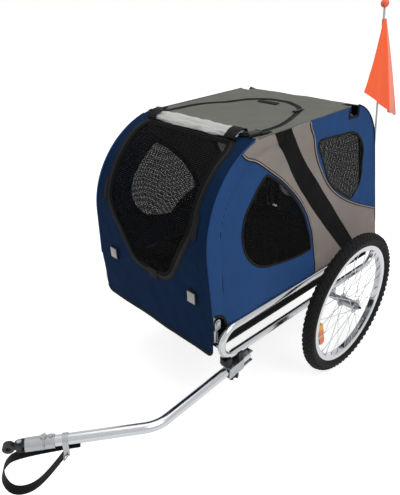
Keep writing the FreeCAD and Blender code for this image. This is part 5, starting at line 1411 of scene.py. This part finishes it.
# The flag's pole, and the flag as in the part's source: where it starts and ends below the tip, its width
# at both ends, its hem's slope, and its folds as shares of the width and depth
POLE_SIDE = 0.228
POLE_LENGTH = 0.864
POLE_GAP = 0.0066
POLE_FOOT = (REAR_FOOT[0] - POLE_GAP / math.cos(REAR_LEAN), REAR_FOOT[1])
FLAG_TOP = 0.042
FLAG_DROP = 0.296
FLAG_WIDTHS = (0.009, 0.100)
FLAG_HEM_SLOPE = 0.708
FLAG_DEPTH = 0.009
FLAG_ASIDE = 0.0041
FLAG_RIPPLE = 0.0015
FLAG_THICK = 0.0006
FLAG_AHEAD_SHARES = (1, 0.42, 0, -0.5, -0.72, -0.82, -0.92)
FLAG_FOLD_SHARES = (0.3, 1, 0.45, 1, -0.35, 2.2, 0.6)
SLEEVE_LENGTH = 0.030
SLEEVE_R = 0.0046


def on_pole(place, ahead, aside):
    """A point by the flag's pole: along it from its foot, ahead of it and to its left."""
    along = Vector((math.sin(REAR_LEAN), math.cos(REAR_LEAN)))
    point = Vector(POLE_FOOT) + along * place + Vector((along.y, -along.x)) * ahead
    return Vector((point.x, POLE_SIDE + aside, point.y))


def fold_curve(shares):
    """A smooth line through shares that are one step apart."""
    return [point.y for point in smooth_line([Vector((n, share)) for n, share in enumerate(shares)], 10)]


def make_flag():
    """The pennant hanging in folds from its sleeve on the pole."""
    ahead_shares, fold_shares = fold_curve(FLAG_AHEAD_SHARES), fold_curve(FLAG_FOLD_SHARES)
    across, down = len(ahead_shares) - 1, 36
    flag = primitive("grid", "flag_cloth_sheet", x_subdivisions=across, y_subdivisions=down, size=1)
    map_by(flag, lambda point: (point.x + 0.5, point.y + 0.5))
    for vertex in flag.data.vertices:
        number = round((vertex.co.x + 0.5) * across)
        share = 0.5 - vertex.co.y
        width = FLAG_WIDTHS[0] + (FLAG_WIDTHS[1] - FLAG_WIDTHS[0]) * share
        ahead = width * ahead_shares[number]
        drop = FLAG_TOP + (FLAG_DROP - FLAG_TOP) * share - FLAG_HEM_SLOPE * share * ahead
        ripple = FLAG_RIPPLE * share * noise.noise(Vector((number * 0.25, share * 5, 3.0)))
        aside = FLAG_ASIDE + FLAG_DEPTH * share * fold_shares[number] + ripple
        vertex.co = on_pole(POLE_LENGTH - drop, ahead, aside)
    modify(flag, "SOLIDIFY", thickness=FLAG_THICK, offset=0)
    face_outward(flag)
    attach(flag, "flag", "flag", ["flag"], "flag_cloth", degrees=60)
    places = even(POLE_LENGTH - FLAG_TOP, POLE_LENGTH - FLAG_TOP - SLEEVE_LENGTH, 6)
    sleeve = wire("flag_sleeve", [on_pole(place, 0, 0) for place in places], SLEEVE_R)
    attach(sleeve, "flag", "flag")


# The safety strap's route, from the part's source: place along the bar from its bend, and height
STRAP_ROUTE = (
    (0.188, 0.207), (0.335, 0.204), (0.373, 0.170), (0.384, 0.118), (0.366, 0.072), (0.322, 0.072),
    (0.276, 0.114), (0.231, 0.176))
STRAP_THICK = 0.0024
STRAP_MAP = (0.47, 0.025)
BAR_RUN = 0.351
BAR_SPLAY = math.radians(4.0)
BAR_TURN = math.radians(33.5)
BAR_BEND = Vector((
    AXLE_X + 0.440 + BAR_RUN * math.cos(BAR_SPLAY), 0.266 + BAR_RUN * math.sin(BAR_SPLAY), 0.2257))
BAR_ALONG = Vector((math.cos(BAR_TURN), -math.sin(BAR_TURN), 0))


def by_bar(place, height):
    """A point over or under the bar's front run."""
    point = BAR_BEND + BAR_ALONG * place
    return Vector((point.x, point.y, height))


def make_strap(sizes):
    """The safety strap: flat webbing along the bar's underside, down in a loop and back to its ring."""
    curve = bpy.data.curves.new("strap_line", "CURVE")
    curve.dimensions = "3D"
    curve.resolution_u = 14
    spline = curve.splines.new("NURBS")
    spline.points.add(len(STRAP_ROUTE) - 1)
    for spot, (place, height) in zip(spline.points, STRAP_ROUTE):
        spot.co = (*by_bar(place, height), 1)
    spline.order_u = 3
    spline.use_endpoint_u = True
    holder = bpy.data.objects.new("strap_line", curve)
    bpy.context.scene.collection.objects.link(holder)
    bpy.context.view_layer.update()
    line = [v.co.copy() for v in bpy.data.meshes.new_from_object(holder).vertices]
    bpy.data.objects.remove(holder)
    across = Vector((-BAR_ALONG.y, BAR_ALONG.x, 0))
    count = len(line) - 1
    strap = primitive("grid", "safety_strap_webbing", x_subdivisions=count, y_subdivisions=4, size=1)
    map_by(strap, lambda point: (point.x * STRAP_MAP[0], point.y * STRAP_MAP[1]))
    for vertex in strap.data.vertices:
        number = round((vertex.co.x + 0.5) * count)
        vertex.co = line[number] + across * (vertex.co.y * sizes.strap_width)
    modify(strap, "SOLIDIFY", thickness=STRAP_THICK, offset=0)
    face_outward(strap)
    attach(strap, "strap", "towbar", ["safety_strap"], "strap_webbing", degrees=50)
    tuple(line[0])


CAD_FINISHES = {
    "tube": ("side_loop_left", "side_loop_right", "cross_tubes", "front_hoop", "rear_hoop", "towbar"),
    # front_links and rear_links are drawn black so that they stay dark behind the window netting, where the
    # cabin's inside is in shade
    "coated": ("front_links", "rear_links", "hitch_eye"),
    "zinc": ("hinge_brackets", "hinge_pins", "towbar_bracket", "towbar_pivot_bolt", "hitch_sleeve",
             "hitch_sleeve_bolt", "hitch_pin", "hitch_fork_bolt", "strap_hardware",
             "axle_left", "axle_right", "hub_left", "hub_right", "axle_bracket_left", "axle_bracket_right"),
    "chrome": ("rim_left", "rim_right", "spokes_left", "spokes_right"),
    "plastic": ("axle_button_left", "axle_button_right", "corner_joints", "rear_latches", "corner_sleeves",
                "towbar_clamps", "towbar_knob", "flag_socket", "hitch_fork"),
    "amber": ("spoke_reflector_left", "spoke_reflector_right"),
    "board": ("floor_board",),
    "pole": ("flag_pole",),
}


def finish_metal():
    """Give every CAD node that stays its real finish."""
    for finish, names in CAD_FINISHES.items():
        for name in names:
            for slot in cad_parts[name].material_slots:
                slot.material = FINISH[finish]


# Stage: the camera fitted to the photograph, with its focal length in the photograph's pixels, and the lamps
CAMERA_AT = (0.9278, 0.9898, 1.1749)
CAMERA_YAW = 0.80375
CAMERA_PITCH = 0.47900
FOCAL_PIXELS = 489.80
PHOTO_HEIGHT = 495.0
SENSOR = 36.0
FLOOR_SIZE = 40
LAMP_AIM = Vector((-0.2, 0, 0.5))
WHITE = (1, 1, 1, 1)


def seen_directly(tree):
    """A share that is one where the camera, a reflection or a clear piece looks at the background."""
    rays = add(tree, "ShaderNodeLightPath")
    direct = add(tree, "ShaderNodeMath", [
        (0, rays.outputs["Is Camera Ray"]), (1, rays.outputs["Is Glossy Ray"])], operation="MAXIMUM")
    clear = add(tree, "ShaderNodeMath", [
        (0, direct.outputs[0]), (1, rays.outputs["Is Transmission Ray"])], operation="MAXIMUM")
    return clear.outputs[0]


def make_floor(stage):
    """A pale matt floor that is seen nearly white and keeps the trailer's shadow."""
    floor = primitive("plane", "studio_floor", size=FLOOR_SIZE)
    material, tree, shader = begin("matt_studio_floor", stage.floor, 0.9, Emission_Color=WHITE)
    glow = add(tree, "ShaderNodeMath", [
        (0, seen_directly(tree)), (1, stage.floor_glow)], operation="MULTIPLY")
    tree.links.new(glow.outputs[0], shader.inputs["Emission Strength"])
    floor.data.materials.append(material)


def make_world(stage):
    """A soft even light from all sides, which is seen as white."""
    world = bpy.data.worlds.new("white_studio")
    bpy.context.scene.world = world
    world.use_nodes = True
    tree = world.node_tree
    tree.nodes.clear()
    soft = add(tree, "ShaderNodeBackground", [("Color", WHITE), ("Strength", stage.fill)])
    white = add(tree, "ShaderNodeBackground", [("Color", WHITE), ("Strength", 1.0)])
    mix = add(tree, "ShaderNodeMixShader", [
        (0, seen_directly(tree)), (1, soft.outputs[0]), (2, white.outputs[0])])
    out = add(tree, "ShaderNodeOutputWorld")
    tree.links.new(mix.outputs[0], out.inputs["Surface"])


def put_in_scene(name, data, place, ahead):
    """A lamp or a camera at a place, looking ahead."""
    holder = bpy.data.objects.new(name, data)
    bpy.context.scene.collection.objects.link(holder)
    holder.location = place
    holder.rotation_euler = ahead.to_track_quat("-Z", "Y").to_euler()
    return holder


def make_stage(stage):
    """A pale seamless floor, a white world, soft lamps and the photograph's camera."""
    bpy.context.scene.view_settings.view_transform = "Standard"
    make_floor(stage)
    make_world(stage)
    for name, place, size, power in (
        ("key_softbox", (0.3, 2.4, 2.6), 1.8, stage.key),
        ("top_softbox", (-0.5, 0.1, 3.2), 2.4, stage.top),
        ("front_softbox", (3.0, -0.6, 1.6), 1.6, stage.front),
    ):
        lamp = bpy.data.lights.new(name, "AREA")
        lamp.energy = power
        lamp.size = size
        put_in_scene(name, lamp, place, LAMP_AIM - Vector(place))
    camera = bpy.data.cameras.new("photo_camera")
    camera.lens = SENSOR * FOCAL_PIXELS / PHOTO_HEIGHT
    camera.sensor_width = SENSOR
    level = math.cos(CAMERA_PITCH)
    ahead = Vector((
        -math.cos(CAMERA_YAW) * level, -math.sin(CAMERA_YAW) * level, -math.sin(CAMERA_PITCH)))
    bpy.context.scene.camera = put_in_scene("photo_camera", camera, CAMERA_AT, ahead)


# Add-on

def text(label, default, about):
    """A colour written as a hex sRGB value."""
    return bpy.props.StringProperty(name=label, description=about, default=default)


def number(label, default, about, unit="NONE"):
    """A size, a share or a lamp's power."""
    return bpy.props.FloatProperty(name=label, description=about, default=default, unit=unit)


class TrailerColours(bpy.types.PropertyGroup):
    """Colours of the trailer's cloth, metal and plastic, as sRGB hex values."""
    # The front cloth is the sides' blue cloth; its darker colour is painted shade
    blue_painted_shade: text("Front cloth", "#092444", "Dyed canvas of the front")
    blue: text("Side cloth", "#2d5185", "Dyed canvas of the sides and rear")
    roof_grey: text("Roof cloth", "#73746d", "Grey canvas of the roof")
    band_grey: text("Band cloth", "#9b928c", "Warm grey canvas of the side band")
    black_cloth: text("Black cloth", "#0f0f10", "Black canvas, tape and webbing")
    netting: text("Netting", "#0d0e0e", "Black netting of doors and windows")
    piping: text("Piping", "#b5a79f", "Pale piping along the side seams")
    cover: text("Rain cover", "#c4c5c1", "Silver coated cloth of the rolled cover")
    steel: text("Chromed steel", "#b9bbbe", "Tubes, rims and spokes")
    zinc: text("Zinc plate", "#a2a5a8", "Brackets, bolts and hubs")
    rubber: text("Rubber", "#111112", "Tyres")
    plastic: text("Black plastic", "#161618", "Buckles, knob and joints")
    board: text("Floor board", "#2a2a2b", "Board on the floor")
    amber: text("Amber reflector", "#ef7d12", "Spoke reflectors")
    amber_tip: text("Amber reflector's end", "#f6b21a", "Upper end of the spoke reflectors")
    lens: text("Clear reflector", "#b4b5b3", "Front reflectors")
    flag: text("Flag", "#ff6a3c", "Flag and ball")
    flag_strip: text("Flag strip", "#ffd9c8", "Pale strip of the flag")
    pole: text("Pole", "#c9cac8", "Glass fibre pole")


class TrailerSizes(bpy.types.PropertyGroup):
    """Sizes of the trailer's trim."""
    piping: number("Piping", 0.0034, "Diameter of the side seams' piping", "LENGTH")
    strap_width: number("Strap width", 0.025, "Width of the safety strap", "LENGTH")


class TrailerStage(bpy.types.PropertyGroup):
    """Light and floor of the studio."""
    floor: text("Floor", "#e6e6e6", "Colour of the studio floor")
    floor_glow: number("Floor white", 0.72, "How white the floor is seen")
    fill: number("Fill", 0.42, "Soft light from all sides")
    key: number("Key lamp", 24.0, "Power of the side softbox", "POWER")
    top: number("Top lamp", 22.0, "Power of the top softbox", "POWER")
    front: number("Front lamp", 2.5, "Power of the front softbox", "POWER")


def operator(key, label, about, action):
    """An operator that makes one piece or group of like pieces."""
    def execute(self, context):
        action(context.scene)
        return {"FINISHED"}
    return type(f"TRAILER_OT_{key}", (bpy.types.Operator,), {
        "bl_idname": f"trailer.{key}", "bl_label": label, "__doc__": about, "execute": execute})


OPERATORS = [operator(*row) for row in (
    ("stage", "Stage", "Set the floor, the lamps and the camera", lambda s: make_stage(s.trailer_stage)),
    ("finishes", "Finishes", "Mix every material and finish the metal",
     lambda s: (make_finishes(s.trailer_colours), finish_metal())),
    ("strap", "Safety strap", "Hang the safety strap", lambda s: make_strap(s.trailer_sizes)),
    ("flag", "Flag", "Hang the flag", lambda s: make_flag()),
    ("sides", "Side walls", "Sew both side walls", lambda s: make_sides(s.trailer_sizes)),
    ("front", "Front", "Sew the front and its door", lambda s: make_front()),
    ("roof", "Roof", "Sew the roof and its flap", lambda s: make_roof()),
    ("rear", "Rear", "Sew the rear wall and its door", lambda s: make_rear()),
    ("cover", "Rolled cover", "Roll the rain cover and buckle it", lambda s: make_rolled_cover()),
    ("reflectors", "Front reflectors", "Make the front reflectors", lambda s: make_reflectors()),
    ("tub", "Floor tub", "Sew the floor tub and the corner linings",
     lambda s: (make_tub(), make_linings())),
    ("tyres", "Tyres", "Mould the tyres", lambda s: make_tyres()),
)]


class TRAILER_PT_panel(bpy.types.Panel):
    """Lists the trailer's pieces, sizes and colours."""
    bl_idname = "TRAILER_PT_panel"
    bl_label = "Trailer"
    bl_space_type = "VIEW_3D"
    bl_region_type = "UI"
    bl_category = "Trailer"

    def draw(self, context):
        for made in OPERATORS:
            self.layout.operator(made.bl_idname)
        for name in SETTINGS:
            group = getattr(context.scene, name)
            for key in group.__annotations__:
                self.layout.prop(group, key)


SETTINGS = {"trailer_sizes": TrailerSizes, "trailer_colours": TrailerColours, "trailer_stage": TrailerStage}
CLASSES = [*SETTINGS.values(), *OPERATORS, TRAILER_PT_panel]


def register():
    """Register the classes and their settings."""
    for made in CLASSES:
        bpy.utils.register_class(made)
    for name, group in SETTINGS.items():
        setattr(bpy.types.Scene, name, bpy.props.PointerProperty(type=group))


def unregister():
    """Remove the settings and the classes."""
    for name in SETTINGS:
        delattr(bpy.types.Scene, name)
    for made in reversed(CLASSES):
        bpy.utils.unregister_class(made)


def main():
    """Build the looks in order and write the two boxes."""
    register()
    for made in OPERATORS:
        getattr(bpy.ops.trailer, made.bl_idname.split(".")[1])()


if __name__ == "__main__":
    main()
